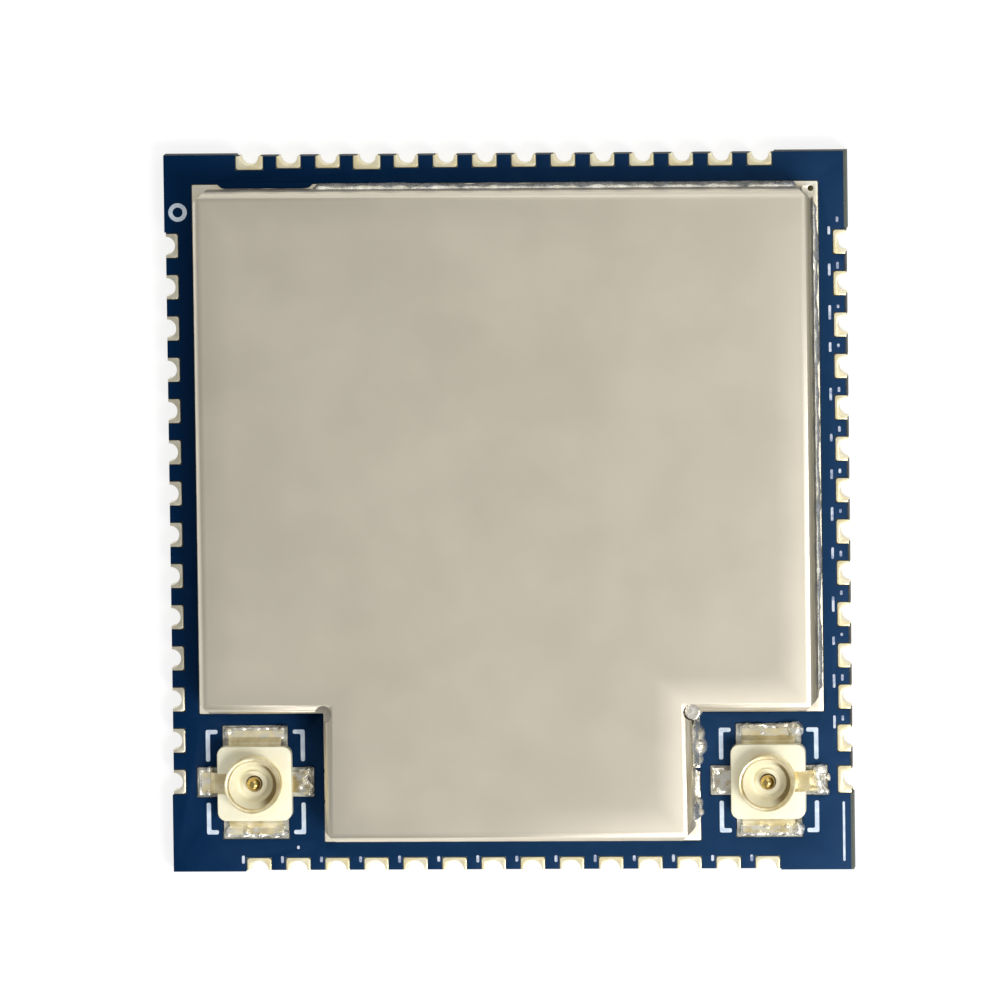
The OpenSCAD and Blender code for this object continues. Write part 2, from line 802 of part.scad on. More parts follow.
module resistor_places() {
    for (i = [0 : row_count - 1])
        on_board([(i - (row_count - 1) / 2) * passive_pitch, resistor_row_y]) children();
}

module passive_body(h) {
    translate([0, 0, cap_t])
        bar(passive_w - 2 * cap_t, passive_l - 2 * cap_t, h - 2 * cap_t);
}

module passive_caps(h) {
    difference() {
        for (s = [-1, 1]) translate([0, s * (passive_l - cap_l) / 2, 0]) bar(passive_w, cap_l, h);
        passive_body(h);
    }
}

module capacitors() { color("#b08a5a") capacitor_places() passive_body(capacitor_h); }
module resistors() { color("#303034") resistor_places() passive_body(resistor_h); }
module end_caps() {
    color("#d0d0cc") {
        capacitor_places() passive_caps(capacitor_h);
        resistor_places() passive_caps(resistor_h);
    }
}

circuit_board();
edge_pads_rear();
edge_pads_front();
edge_pads_left();
edge_pads_right();
shield_land();
shield_can();
shield_solder();
left_socket_lands();
left_socket_insulator();
left_socket_outer_contact();
left_socket_centre_contact();
left_socket_solder();
right_socket_lands();
right_socket_insulator();
right_socket_outer_contact();
right_socket_centre_contact();
right_socket_solder();
legend_ink();
radio_chip();
memory_chip();
front_end_chips();
regulator_chip();
chip_terminals();
band_filters();
power_inductor();
crystal_base();
crystal_lid();
capacitors();
resistors();
end_caps();
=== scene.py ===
"""Looks of a surface-mount wireless module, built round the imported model.

Every piece is shaped in millimetres and scaled to metres when it is delivered. +X points to the
right of the board, +Y to its rear edge and +Z up.
"""
import logging
import math
import random
from dataclasses import dataclass
from enum import Enum
from typing import Callable, Optional, Sequence

import bmesh
import bpy
from mathutils import Matrix, Vector, noise


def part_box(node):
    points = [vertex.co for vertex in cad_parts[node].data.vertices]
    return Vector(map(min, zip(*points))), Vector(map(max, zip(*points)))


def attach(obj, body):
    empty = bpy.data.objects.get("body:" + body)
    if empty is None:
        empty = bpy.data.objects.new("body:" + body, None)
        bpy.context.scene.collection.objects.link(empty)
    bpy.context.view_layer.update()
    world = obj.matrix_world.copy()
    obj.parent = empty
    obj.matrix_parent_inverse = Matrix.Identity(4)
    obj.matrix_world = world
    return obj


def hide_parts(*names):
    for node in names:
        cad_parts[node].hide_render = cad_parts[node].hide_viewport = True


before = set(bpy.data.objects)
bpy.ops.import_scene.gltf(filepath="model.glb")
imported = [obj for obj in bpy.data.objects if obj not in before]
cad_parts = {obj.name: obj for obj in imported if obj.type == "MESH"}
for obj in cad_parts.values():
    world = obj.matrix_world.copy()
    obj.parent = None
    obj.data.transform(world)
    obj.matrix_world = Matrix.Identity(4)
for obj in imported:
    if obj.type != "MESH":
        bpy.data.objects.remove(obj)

LOG = logging.getLogger("wireless_module")
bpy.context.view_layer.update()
BODY = "root"
MILLIMETRE = 0.001
Point = tuple[float, float]
Colour = tuple[float, float, float]


class Side(Enum):
    """The four edges of the board, each with the turn that carries +Y onto its outward normal."""

    REAR = 0
    LEFT = 90
    FRONT = 180
    RIGHT = -90

    @property
    def turn(self) -> Matrix:
        """Rotation from the side's own frame, in which +Y points off the board."""
        return Matrix.Rotation(math.radians(self.value), 4, "Z")


class Joining(Enum):
    """How two workpieces are combined."""

    ADD = "UNION"
    CUT = "DIFFERENCE"
    KEEP = "INTERSECT"


def box_mm(node: str) -> tuple[Vector, Vector]:
    """Lowest and highest corner of a CAD node in millimetres.

    Args:
        node: Name of the node.

    Returns:
        The two corners.
    """
    low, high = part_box(node)
    return low / MILLIMETRE, high / MILLIMETRE


def colour(red: int, green: int, blue: int) -> Colour:
    """Turns a display colour into the linear one that a shader takes.

    Args:
        red: Red from 0 to 255.
        green: Green from 0 to 255.
        blue: Blue from 0 to 255.

    Returns:
        The linear colour.
    """
    def linear(level: int) -> float:
        """One channel made linear."""
        share = level / 255
        return share / 12.92 if share <= 0.04045 else ((share + 0.055) / 1.055) ** 2.4
    return linear(red), linear(green), linear(blue)


# ---- Workshop ----


class Workpiece:
    """A piece under construction, in millimetres, shaped by mesh operators."""

    ROUND_STEPS = 48
    CORNER_STEPS = 5

    def __init__(self) -> None:
        """Starts empty."""
        self.mesh = bmesh.new()

    def block(self, size: Sequence[float], low: Sequence[float], corner: float = 0.0) -> "Workpiece":
        """Adds a block.

        Args:
            size: Lengths along x, y and z.
            low: Centre of its underside.
            corner: Radius of its four upright edges.

        Returns:
            This workpiece.
        """
        made = bmesh.ops.create_cube(self.mesh, size=1.0)["verts"]
        bmesh.ops.scale(self.mesh, vec=size, verts=made)
        bmesh.ops.translate(self.mesh, vec=(low[0], low[1], low[2] + size[2] / 2), verts=made)
        if corner > 0:
            self._round_upright(made, corner)
        return self

    def prism(self, outline: Sequence[Point], low: float, high: float, corner: float = 0.0) -> "Workpiece":
        """Adds a prism that stands on a plane outline.

        Args:
            outline: Corners of the outline, counter-clockwise.
            low: Height of its underside.
            high: Height of its top.
            corner: Radius of its upright edges.

        Returns:
            This workpiece.
        """
        rim = [self.mesh.verts.new((x, y, low)) for x, y in outline]
        face = self.mesh.faces.new(rim)
        grown = bmesh.ops.extrude_face_region(self.mesh, geom=[face])["geom"]
        top = [v for v in grown if isinstance(v, bmesh.types.BMVert)]
        bmesh.ops.translate(self.mesh, vec=(0, 0, high - low), verts=top)
        bmesh.ops.recalc_face_normals(self.mesh, faces=self._faces_of(rim + top))
        if corner > 0:
            self._round_upright(rim + top, corner)
        return self

    def cylinder(self, radius: float, low: Sequence[float], height: float) -> "Workpiece":
        """Adds an upright cylinder.

        Args:
            radius: Its radius.
            low: Centre of its underside.
            height: Its height.

        Returns:
            This workpiece.
        """
        place = Matrix.Translation((low[0], low[1], low[2] + height / 2))
        bmesh.ops.create_cone(self.mesh, cap_ends=True, segments=self.ROUND_STEPS, radius1=radius,
                              radius2=radius, depth=height, matrix=place)
        return self

    def spun(self, section: Sequence[Point]) -> "Workpiece":
        """Adds a turned form about the z axis.

        Args:
            section: Radius and height of each point. A section that starts and ends on the axis
                stays open there, and any other is closed into a ring.

        Returns:
            This workpiece.
        """
        points = [self.mesh.verts.new((radius, 0, z)) for radius, z in section]
        edges = [self.mesh.edges.new(pair) for pair in zip(points, points[1:])]
        if section[0][0] > 0:
            edges.append(self.mesh.edges.new((points[-1], points[0])))
        before = set(self.mesh.verts) - set(points)
        bmesh.ops.spin(self.mesh, geom=points + edges, cent=(0, 0, 0), axis=(0, 0, 1),
                       dvec=(0, 0, 0), angle=math.tau, steps=self.ROUND_STEPS * 2, use_merge=True,
                       use_duplicate=False)
        turned = [v for v in self.mesh.verts if v not in before]
        bmesh.ops.remove_doubles(self.mesh, verts=turned, dist=1e-5)
        turned = [v for v in self.mesh.verts if v not in before]
        bmesh.ops.recalc_face_normals(self.mesh, faces=self._faces_of(turned))
        return self

    def ball(self, centre: Sequence[float], radii: Sequence[float], level: int = 3) -> "Workpiece":
        """Adds an ellipsoid.

        Args:
            centre: Its centre.
            radii: Its radii along x, y and z.
            level: How often its faces are split.

        Returns:
            This workpiece.
        """
        made = bmesh.ops.create_icosphere(self.mesh, subdivisions=level, radius=1.0)["verts"]
        bmesh.ops.scale(self.mesh, vec=radii, verts=made)
        bmesh.ops.translate(self.mesh, vec=centre, verts=made)
        return self

    def moved(self, place: Matrix) -> "Workpiece":
        """Moves and turns the whole piece and returns it."""
        bmesh.ops.transform(self.mesh, matrix=place, verts=self.mesh.verts)
        if place.determinant() < 0:
            bmesh.ops.reverse_faces(self.mesh, faces=self.mesh.faces)
        return self

    def stamped(self, other: "Workpiece", place: Matrix) -> "Workpiece":
        """Adds a copy of another workpiece that touches nothing here.

        Args:
            other: The workpiece to copy.
            place: Where the copy goes.

        Returns:
            This workpiece.
        """
        copied = bpy.data.meshes.new("stamp")
        other.mesh.to_mesh(copied)
        copied.transform(place)
        if place.determinant() < 0:
            copied.flip_normals()
        self.mesh.from_mesh(copied)
        bpy.data.meshes.remove(copied)
        return self

    def joined(self, other: "Workpiece", joining: Joining) -> "Workpiece":
        """Combines this piece with another solid.

        Args:
            other: The solid that is added, cut away or kept.
            joining: What is done with it.

        Returns:
            This workpiece.
        """
        target, tool = self._scratch(), other._scratch()
        modifier = target.modifiers.new("joining", "BOOLEAN")
        modifier.operation = joining.value
        modifier.object = tool
        modifier.solver = "MANIFOLD"
        self._take(target)
        bpy.data.meshes.remove(tool.data)
        return self

    def softened(self, width: float, steps: int = 2, angle: float = 35.0) -> "Workpiece":
        """Rounds every edge that is sharper than an angle.

        Args:
            width: How far the rounding reaches from the edge.
            steps: Faces across the rounding.
            angle: Smallest angle in degrees that is rounded.

        Returns:
            This workpiece.
        """
        target = self._scratch()
        modifier = target.modifiers.new("softened", "BEVEL")
        modifier.width = width
        modifier.segments = steps
        modifier.limit_method = "ANGLE"
        modifier.angle_limit = math.radians(angle)
        self._take(target)
        return self

    def fused(self, cell: float, passes: int = 4) -> "Workpiece":
        """Melts overlapping shells into one smooth skin.

        Args:
            cell: Size of the cells that the skin is laid over.
            passes: How often its points are smoothed.

        Returns:
            This workpiece.
        """
        target = self._scratch()
        modifier = target.modifiers.new("fused", "REMESH")
        modifier.mode = "VOXEL"
        modifier.voxel_size = cell
        self._take(target)
        for _ in range(passes):
            bmesh.ops.smooth_vert(self.mesh, verts=self.mesh.verts, factor=0.5, use_axis_x=True,
                                  use_axis_y=True, use_axis_z=True)
        return self

    def swollen(self, amount: float, grain: float, seed: float) -> "Workpiece":
        """Moves the skin in and out along its normals.

        Args:
            amount: Largest movement.
            grain: Size of a swelling.
            seed: Picks the pattern.

        Returns:
            This workpiece.
        """
        self.mesh.normal_update()
        shift = Vector((seed, -seed, 2 * seed))
        moves = [(v, v.normal * amount * noise.noise(v.co / grain + shift)) for v in self.mesh.verts]
        for vert, move in moves:
            vert.co += move
        return self

    def trimmed(self, height: float) -> "Workpiece":
        """Cuts off what lies below a height and closes the cut."""
        geometry = list(self.mesh.verts) + list(self.mesh.edges) + list(self.mesh.faces)
        bmesh.ops.bisect_plane(self.mesh, geom=geometry, dist=1e-6, plane_co=(0, 0, height),
                               plane_no=(0, 0, 1), clear_inner=True)
        rim = [e for e in self.mesh.edges if e.is_boundary]
        bmesh.ops.holes_fill(self.mesh, edges=rim, sides=0)
        return self

    def deliver(self, name: str, finish: "Finish", slot: str, replaces: Sequence[str] = (),
                smooth_below: float = 40.0) -> bpy.types.Object:
        """Turns the workpiece into a finished object of the part.

        Args:
            name: Name of the object.
            finish: What it is dressed in.
            slot: Material slot in the record.
            replaces: CAD nodes that it stands for.
            smooth_below: Angle in degrees up to which neighbouring faces are shaded as one.

        Returns:
            The finished object.
        """
        bmesh.ops.scale(self.mesh, vec=(MILLIMETRE,) * 3, verts=self.mesh.verts)
        self.mesh.normal_update()
        for face in self.mesh.faces:
            face.smooth = True
        limit = math.radians(smooth_below)
        for edge in self.mesh.edges:
            edge.smooth = edge.calc_face_angle(0.0) < limit
        data = bpy.data.meshes.new(name)
        self.mesh.to_mesh(data)
        self.mesh.free()
        data.materials.append(finish.material())
        piece = bpy.data.objects.new(name, data)
        bpy.context.scene.collection.objects.link(piece)
        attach(piece, BODY)
        if replaces:
            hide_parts(*replaces)
        LOG.info("%s: %d faces in %s", name, len(data.polygons), slot)
        return piece

    def _scratch(self) -> bpy.types.Object:
        """Puts the mesh into a passing object, on which a modifier can work."""
        data = bpy.data.meshes.new("scratch")
        self.mesh.to_mesh(data)
        made = bpy.data.objects.new("scratch", data)
        bpy.context.scene.collection.objects.link(made)
        return made

    def _take(self, target: bpy.types.Object) -> None:
        """Takes back what the modifiers of a passing object made and clears it away."""
        bpy.context.view_layer.update()
        graph = bpy.context.evaluated_depsgraph_get()
        made = bpy.data.meshes.new_from_object(target.evaluated_get(graph))
        self.mesh.clear()
        self.mesh.from_mesh(made)
        bpy.data.meshes.remove(made)
        bpy.data.meshes.remove(target.data)

    def _faces_of(self, verts: Sequence[bmesh.types.BMVert]) -> list[bmesh.types.BMFace]:
        """Faces that hold any of these points."""
        return list({face for vert in verts for face in vert.link_faces})

    def _round_upright(self, verts: Sequence[bmesh.types.BMVert], radius: float) -> None:
        """Rounds the upright edges between these points."""
        edges = {edge for vert in verts for edge in vert.link_edges}
        upright = [e for e in edges if (e.verts[0].co - e.verts[1].co).xy.length < 1e-6]
        bmesh.ops.bevel(self.mesh, geom=upright, offset=radius, offset_type="OFFSET",
                        segments=self.CORNER_STEPS, profile=0.5, affect="EDGES", material=-1)


# ---- Finishes ----


class Shader:
    """A node material under construction. Patterns read object coordinates in millimetres."""

    def __init__(self, name: str) -> None:
        """Starts with one principled shader."""
        self.made = bpy.data.materials.new(name)
        self.made.use_nodes = True
        self.nodes = self.made.node_tree.nodes
        self.links = self.made.node_tree.links
        self.surface = self.nodes["Principled BSDF"]
        coordinates = self.nodes.new("ShaderNodeTexCoord")
        scaling = self.nodes.new("ShaderNodeMapping")
        scaling.inputs["Scale"].default_value = (1 / MILLIMETRE,) * 3
        self.links.new(coordinates.outputs["Object"], scaling.inputs["Vector"])
        self.place = scaling.outputs["Vector"]

    def fixed(self, **values: float) -> None:
        """Sets sockets of the shader that are the same all over, by name with _ for a space."""
        for name, value in values.items():
            self.surface.inputs[name.replace("_", " ")].default_value = value

    def stretched(self, stretch: Sequence[float]) -> bpy.types.NodeSocket:
        """Coordinates drawn out by a factor along each axis."""
        node = self.nodes.new("ShaderNodeMapping")
        node.inputs["Scale"].default_value = stretch
        self.links.new(self.place, node.inputs["Vector"])
        return node.outputs["Vector"]

    def cloud(self, grain: float, detail: float = 3.0,
              vector: Optional[bpy.types.NodeSocket] = None) -> bpy.types.NodeSocket:
        """Soft noise from 0 to 1.

        Args:
            grain: Size of a cloud in millimetres.
            detail: How many finer layers lie on it.
            vector: Coordinates, or None for the plain ones.

        Returns:
            The noise.
        """
        node = self.nodes.new("ShaderNodeTexNoise")
        node.inputs["Scale"].default_value = 1 / grain
        node.inputs["Detail"].default_value = detail
        self.links.new(vector or self.place, node.inputs["Vector"])
        return node.outputs["Fac"]

    def axis(self, letter: str) -> bpy.types.NodeSocket:
        """One object coordinate in millimetres, X, Y or Z."""
        node = self.nodes.new("ShaderNodeSeparateXYZ")
        self.links.new(self.place, node.inputs["Vector"])
        return node.outputs[letter]

    def facing(self, letter: str) -> bpy.types.NodeSocket:
        """Part of the surface's own normal along X, Y or Z."""
        geometry = self.nodes.new("ShaderNodeNewGeometry")
        node = self.nodes.new("ShaderNodeSeparateXYZ")
        self.links.new(geometry.outputs["Normal"], node.inputs["Vector"])
        return node.outputs[letter]

    def sum(self, operation: str, *terms: object, clamp: bool = False) -> bpy.types.NodeSocket:
        """A Math node.

        Args:
            operation: Name of the operation.
            terms: Sockets or numbers.
            clamp: Whether the result is held between 0 and 1.

        Returns:
            The result.
        """
        node = self.nodes.new("ShaderNodeMath")
        node.operation = operation
        node.use_clamp = clamp
        for socket, term in zip(node.inputs, terms):
            self._feed(socket, term)
        return node.outputs["Value"]

    def between(self, value: bpy.types.NodeSocket, low: float, high: float,
                start: float = 0.0, stop: float = 1.0) -> bpy.types.NodeSocket:
        """Carries low to high onto start to stop, smoothly and held at both ends.

        Args:
            value: What is carried over.
            low: Where the change begins.
            high: Where it ends.
            start: Result below low.
            stop: Result above high.

        Returns:
            The result.
        """
        node = self.nodes.new("ShaderNodeMapRange")
        node.interpolation_type = "SMOOTHSTEP"
        for name, number in (("From Min", low), ("From Max", high), ("To Min", start), ("To Max", stop)):
            node.inputs[name].default_value = number
        self.links.new(value, node.inputs["Value"])
        return node.outputs["Result"]

    def mixed(self, share: object, first: object, second: object) -> bpy.types.NodeSocket:
        """Blends two colours.

        Args:
            share: How much of the second colour shows.
            first: Colour or socket.
            second: Colour or socket.

        Returns:
            The blend.
        """
        node = self.nodes.new("ShaderNodeMix")
        node.data_type = "RGBA"
        sockets = {s.identifier: s for s in node.inputs}
        self._feed(sockets["Factor_Float"], share)
        self._feed(sockets["A_Color"], first)
        self._feed(sockets["B_Color"], second)
        return {s.identifier: s for s in node.outputs}["Result_Color"]

    def painted(self, paint: bpy.types.NodeSocket) -> None:
        """Sends a colour to the shader."""
        self.links.new(paint, self.surface.inputs["Base Color"])

    def roughened(self, roughness: bpy.types.NodeSocket) -> None:
        """Sends a varying roughness to the shader."""
        self.links.new(roughness, self.surface.inputs["Roughness"])

    def embossed(self, height: bpy.types.NodeSocket, depth: float, strength: float = 1.0) -> None:
        """Gives the surface a relief.

        Args:
            height: Relief from 0 to 1.
            depth: What 1 means, in millimetres.
            strength: Share of the relief that shows.
        """
        node = self.nodes.new("ShaderNodeBump")
        node.inputs["Distance"].default_value = depth * MILLIMETRE
        node.inputs["Strength"].default_value = strength
        self.links.new(height, node.inputs["Height"])
        self.links.new(node.outputs["Normal"], self.surface.inputs["Normal"])

    def _feed(self, socket: bpy.types.NodeSocket, term: object) -> None:
        """Links a socket or writes a number or a colour."""
        if isinstance(term, bpy.types.NodeSocket):
            self.links.new(term, socket)
        elif isinstance(term, tuple):
            socket.default_value = (*term, 1.0)
        else:
            socket.default_value = term


class Finish:
    """Anything that can dress a piece. Its material is made once."""

    _made: dict[object, bpy.types.Material] = {}

    def material(self) -> bpy.types.Material:
        """The finish's material."""
        if self not in Finish._made:
            Finish._made[self] = self.mix()
        return Finish._made[self]

    def mix(self) -> bpy.types.Material:
        """Builds the material."""
        raise NotImplementedError

    def dress(self, node: str) -> None:
        """Dresses a CAD node that keeps its shape."""
        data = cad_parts[node].data
        data.materials.clear()
        data.materials.append(self.material())
        LOG.info("%s: dressed in %s", node, self.material().name)


@dataclass(frozen=True)
class SolderMask(Finish):
    """Navy solder mask with faint clouds, and painted light that makes it paler towards the front right."""

    deep: Colour = colour(1, 36, 72)
    pale: Colour = colour(32, 62, 97)
    middle_share: float = 0.35
    painted_light_x_share: float = 0.03
    painted_light_y_share: float = -0.012
    cloud_share: float = 0.35
    cloud_size: float = 0.7
    roughness: float = 0.5
    specular: float = 0.04

    def mix(self) -> bpy.types.Material:
        """Builds the material."""
        shader = Shader("solder_mask")
        # Painted light: the tone grows paler towards the front right.
        across = shader.sum("MULTIPLY", shader.axis("X"), self.painted_light_x_share)
        along = shader.sum("MULTIPLY", shader.axis("Y"), self.painted_light_y_share)
        clouds = shader.sum("SUBTRACT", shader.cloud(self.cloud_size, 4.0), 0.5)
        clouds = shader.sum("MULTIPLY", clouds, self.cloud_share)
        share = shader.sum("ADD", shader.sum("ADD", across, along), clouds)
        share = shader.sum("ADD", share, self.middle_share, clamp=True)
        shader.painted(shader.mixed(share, self.deep, self.pale))
        shader.fixed(Roughness=self.roughness, Specular_IOR_Level=self.specular)
        shader.embossed(shader.cloud(0.25, 2.0), 0.01, 0.25)
        return shader.made


@dataclass(frozen=True)
class BoardBody(Finish):
    """Bare laminate on the sides and the mask's openings, with painted shade on the sides that face front and
    rear, and navy mask on the underside.
    """

    laminate: Colour = colour(96, 102, 92)
    dark_laminate: Colour = colour(72, 72, 64)
    rim: Colour = colour(44, 46, 40)
    mask: Colour = colour(10, 34, 68)
    board_top: float = 0.8
    milled_half: float = 9.93
    can_half_x: float = 10.6
    can_half_y: float = 11.2

    def mix(self) -> bpy.types.Material:
        """Builds the material."""
        shader = Shader("board_body")
        weave = shader.sum("MULTIPLY", shader.cloud(0.12, 2.0), 1.0)
        along = shader.sum("ABSOLUTE", shader.axis("Y"))
        across = shader.sum("ABSOLUTE", shader.axis("X"))
        milled = shader.between(along, self.milled_half, self.milled_half + 0.05, 1.0, 0.0)
        # Sides that face front or rear take the darker mix as painted shade.
        ends = shader.between(shader.sum("ABSOLUTE", shader.facing("Y")), 0.4, 0.6)
        milled = shader.sum("MAXIMUM", milled, ends)
        clean = shader.mixed(shader.between(weave, 0.3, 0.7, 0.0, 0.35), self.laminate, self.dark_laminate)
        darker_mix = shader.mixed(shader.between(weave, 0.3, 0.7), self.dark_laminate, self.rim)
        bare = shader.mixed(milled, clean, darker_mix)
        inside_x = shader.between(across, self.can_half_x, self.can_half_x + 0.02, 1.0, 0.0)
        inside_y = shader.between(along, self.can_half_y, self.can_half_y + 0.02, 1.0, 0.0)
        inside = shader.sum("MULTIPLY", inside_x, inside_y)
        up = shader.between(shader.facing("Z"), 0.5, 0.9)
        covered = shader.sum("MULTIPLY", inside, up)
        under = shader.between(shader.facing("Z"), -0.9, -0.5, 1.0, 0.0)
        masked = shader.sum("ADD", covered, under, clamp=True)
        shader.painted(shader.mixed(masked, bare, self.mask))
        shader.fixed(Roughness=0.62, Specular_IOR_Level=0.2)
        shader.embossed(weave, 0.02, 0.4)
        return shader.made


@dataclass(frozen=True)
class Metal(Finish):
    """A metal with clouds of tone and of gloss and a fine relief."""

    name: str
    light: Colour
    dark: Colour
    cloud_size: float = 0.8
    low_gloss: float = 0.42
    high_gloss: float = 0.3
    metallic: float = 1.0
    relief_size: float = 0.15
    relief_depth: float = 0.01
    relief_share: float = 0.3
    stretch: tuple[float, float, float] = (1.0, 1.0, 1.0)

    def mix(self) -> bpy.types.Material:
        """Builds the material."""
        shader = Shader(self.name)
        grain = shader.stretched(self.stretch)
        shader.painted(self.tone(shader, grain))
        gloss = shader.cloud(self.cloud_size * 0.6, 3.0, grain)
        shader.roughened(shader.between(gloss, 0.35, 0.65, self.high_gloss, self.low_gloss))
        shader.fixed(Metallic=self.metallic)
        shader.embossed(shader.cloud(self.relief_size, 3.0, grain), self.relief_depth, self.relief_share)
        return shader.made

    def tone(self, shader: Shader, grain: bpy.types.NodeSocket) -> bpy.types.NodeSocket:
        """Clouds of the two tones.

        Args:
            shader: The material under construction.
            grain: Coordinates of the pattern.

        Returns:
            The colour.
        """
        clouds = shader.between(shader.cloud(self.cloud_size, 4.0, grain), 0.35, 0.65)
        return shader.mixed(clouds, self.light, self.dark)


@dataclass(frozen=True)
class Moulding(Finish):
    """A plastic, ceramic, resin or ink with clouds of tone and a fine relief."""

    name: str
    light: Colour
    dark: Colour
    cloud_size: float = 0.8
    roughness: float = 0.5
    specular: float = 0.4
    relief_size: float = 0.08
    relief_depth: float = 0.01
    relief_share: float = 0.3

    def mix(self) -> bpy.types.Material:
        """Builds the material."""
        shader = Shader(self.name)
        shader.painted(self.tone(shader))
        shader.fixed(Roughness=self.roughness, Specular_IOR_Level=self.specular)
        shader.embossed(shader.cloud(self.relief_size, 3.0), self.relief_depth, self.relief_share)
        return shader.made

    def tone(self, shader: Shader) -> bpy.types.NodeSocket:
        """Clouds of the two tones.

        Args:
            shader: The material under construction.

        Returns:
            The colour.
        """
        clouds = shader.between(shader.cloud(self.cloud_size, 4.0), 0.35, 0.65)
        return shader.mixed(clouds, self.light, self.dark)


@dataclass(frozen=True)
class FoldedSheet(Metal):
    """Rolled sheet with painted shade on its right-hand walls, standing for their dark reflection."""

    painted_shade: Colour = colour(112, 106, 84)
    painted_shade_share: float = 0.85
    painted_shade_from: float = 9.0

    def tone(self, shader: Shader, grain: bpy.types.NodeSocket) -> bpy.types.NodeSocket:
        """Clouds of tone, with painted shade where the sheet faces right."""
        steep = shader.between(shader.facing("X"), 0.45, 0.85, 0.0, self.painted_shade_share)
        outer = shader.between(shader.axis("X"), self.painted_shade_from, self.painted_shade_from + 0.5)
        steep = shader.sum("MULTIPLY", steep, outer)
        return shader.mixed(steep, super().tone(shader, grain), self.painted_shade)


@dataclass(frozen=True)
class WettedMetal(Metal):
    """Metal whose low parts are wetted by solder in patches."""

    tin: Colour = colour(234, 231, 218)
    level: float = 0.96
    patch_size: float = 0.3
    cover: float = 0.5

    def tone(self, shader: Shader, grain: bpy.types.NodeSocket) -> bpy.types.NodeSocket:
        """Clouds of tone, with solder on the feet."""
        low = shader.between(shader.axis("Z"), self.level, self.level + 0.05, 1.0, 0.0)
        patches = shader.between(shader.cloud(self.patch_size, 2.0), 0.9 - self.cover, 1.2 - self.cover)
        share = shader.sum("MULTIPLY", low, patches)
        return shader.mixed(share, super().tone(shader, grain), self.tin)


@dataclass(frozen=True)
class SocketMoulding(Moulding):
    """Ivory moulding with painted shade where its inner wall faces left."""

    # Painted shade: a dark colour on the well's inner wall where it faces left.
    painted_shade: Colour = colour(122, 102, 56)
    painted_shade_share: float = 1.0
    painted_shade_from: float = 1.3

    def tone(self, shader: Shader) -> bpy.types.NodeSocket:
        """Clouds of tone with painted shade on the inner wall."""
        turned = shader.between(shader.facing("X"), -0.7, -0.1, self.painted_shade_share, 0.0)
        high = shader.between(shader.axis("Z"), self.painted_shade_from, self.painted_shade_from + 0.2)
        return shader.mixed(shader.sum("MULTIPLY", turned, high), super().tone(shader), self.painted_shade)


MASK = SolderMask()
CAN_SHEET = FoldedSheet("can_sheet", colour(222, 214, 196), colour(217, 209, 191), cloud_size=3.4,
                        low_gloss=0.45, high_gloss=0.43, relief_size=0.3, relief_depth=0.006,
                        relief_share=0.2)
PAD_GOLD = Metal("pad_gold", colour(255, 247, 214), colour(250, 236, 190), cloud_size=0.5, metallic=0.5)
# Painted shade: a darker copy of the pad gold for the left row, which faces away from the light.
SHADED_PAD_GOLD = Metal("shaded_pad_gold", colour(242, 236, 214), colour(226, 219, 194), cloud_size=0.5,
                      metallic=0.85)
LAND_GOLD = Metal("land_gold", colour(255, 250, 234), colour(248, 238, 214), cloud_size=0.6, metallic=0.45)
TINNED_LAND = Metal("tinned_land", colour(224, 222, 208), colour(150, 148, 138), cloud_size=0.5,
                    low_gloss=0.5, high_gloss=0.35)
CONTACT_GOLD = WettedMetal("contact_gold", colour(252, 242, 206), colour(222, 204, 152), cloud_size=0.6,
                           low_gloss=0.4, high_gloss=0.3, metallic=0.75)
PIN_GOLD = WettedMetal("pin_gold", colour(206, 180, 112), colour(186, 158, 90), cloud_size=0.3,
                       low_gloss=0.26, high_gloss=0.2, cover=0.62)
SOLDER = Metal("solder", colour(253, 250, 240), colour(222, 218, 204), cloud_size=0.22,
               low_gloss=0.34, high_gloss=0.2, metallic=0.72, relief_size=0.1, relief_depth=0.012)
IVORY = SocketMoulding("insulator_ivory", colour(252, 248, 222), colour(247, 241, 212), cloud_size=1.0,
                       roughness=0.45, specular=0.35)
INK = Moulding("legend_ink", colour(220, 232, 244), colour(200, 214, 232), cloud_size=0.25,
               roughness=0.6, specular=0.2)
# Painted highlight: pale marks that stand for glints on the mask over copper edges.
GLINT_PAINT = Moulding("painted_glint", colour(212, 220, 234), colour(140, 152, 182), cloud_size=0.25,
                     roughness=0.6, specular=0.2)
VIA_FILL = Moulding("via_fill", colour(74, 64, 14), colour(48, 42, 8), cloud_size=0.05, roughness=0.4)


# ---- Board ----


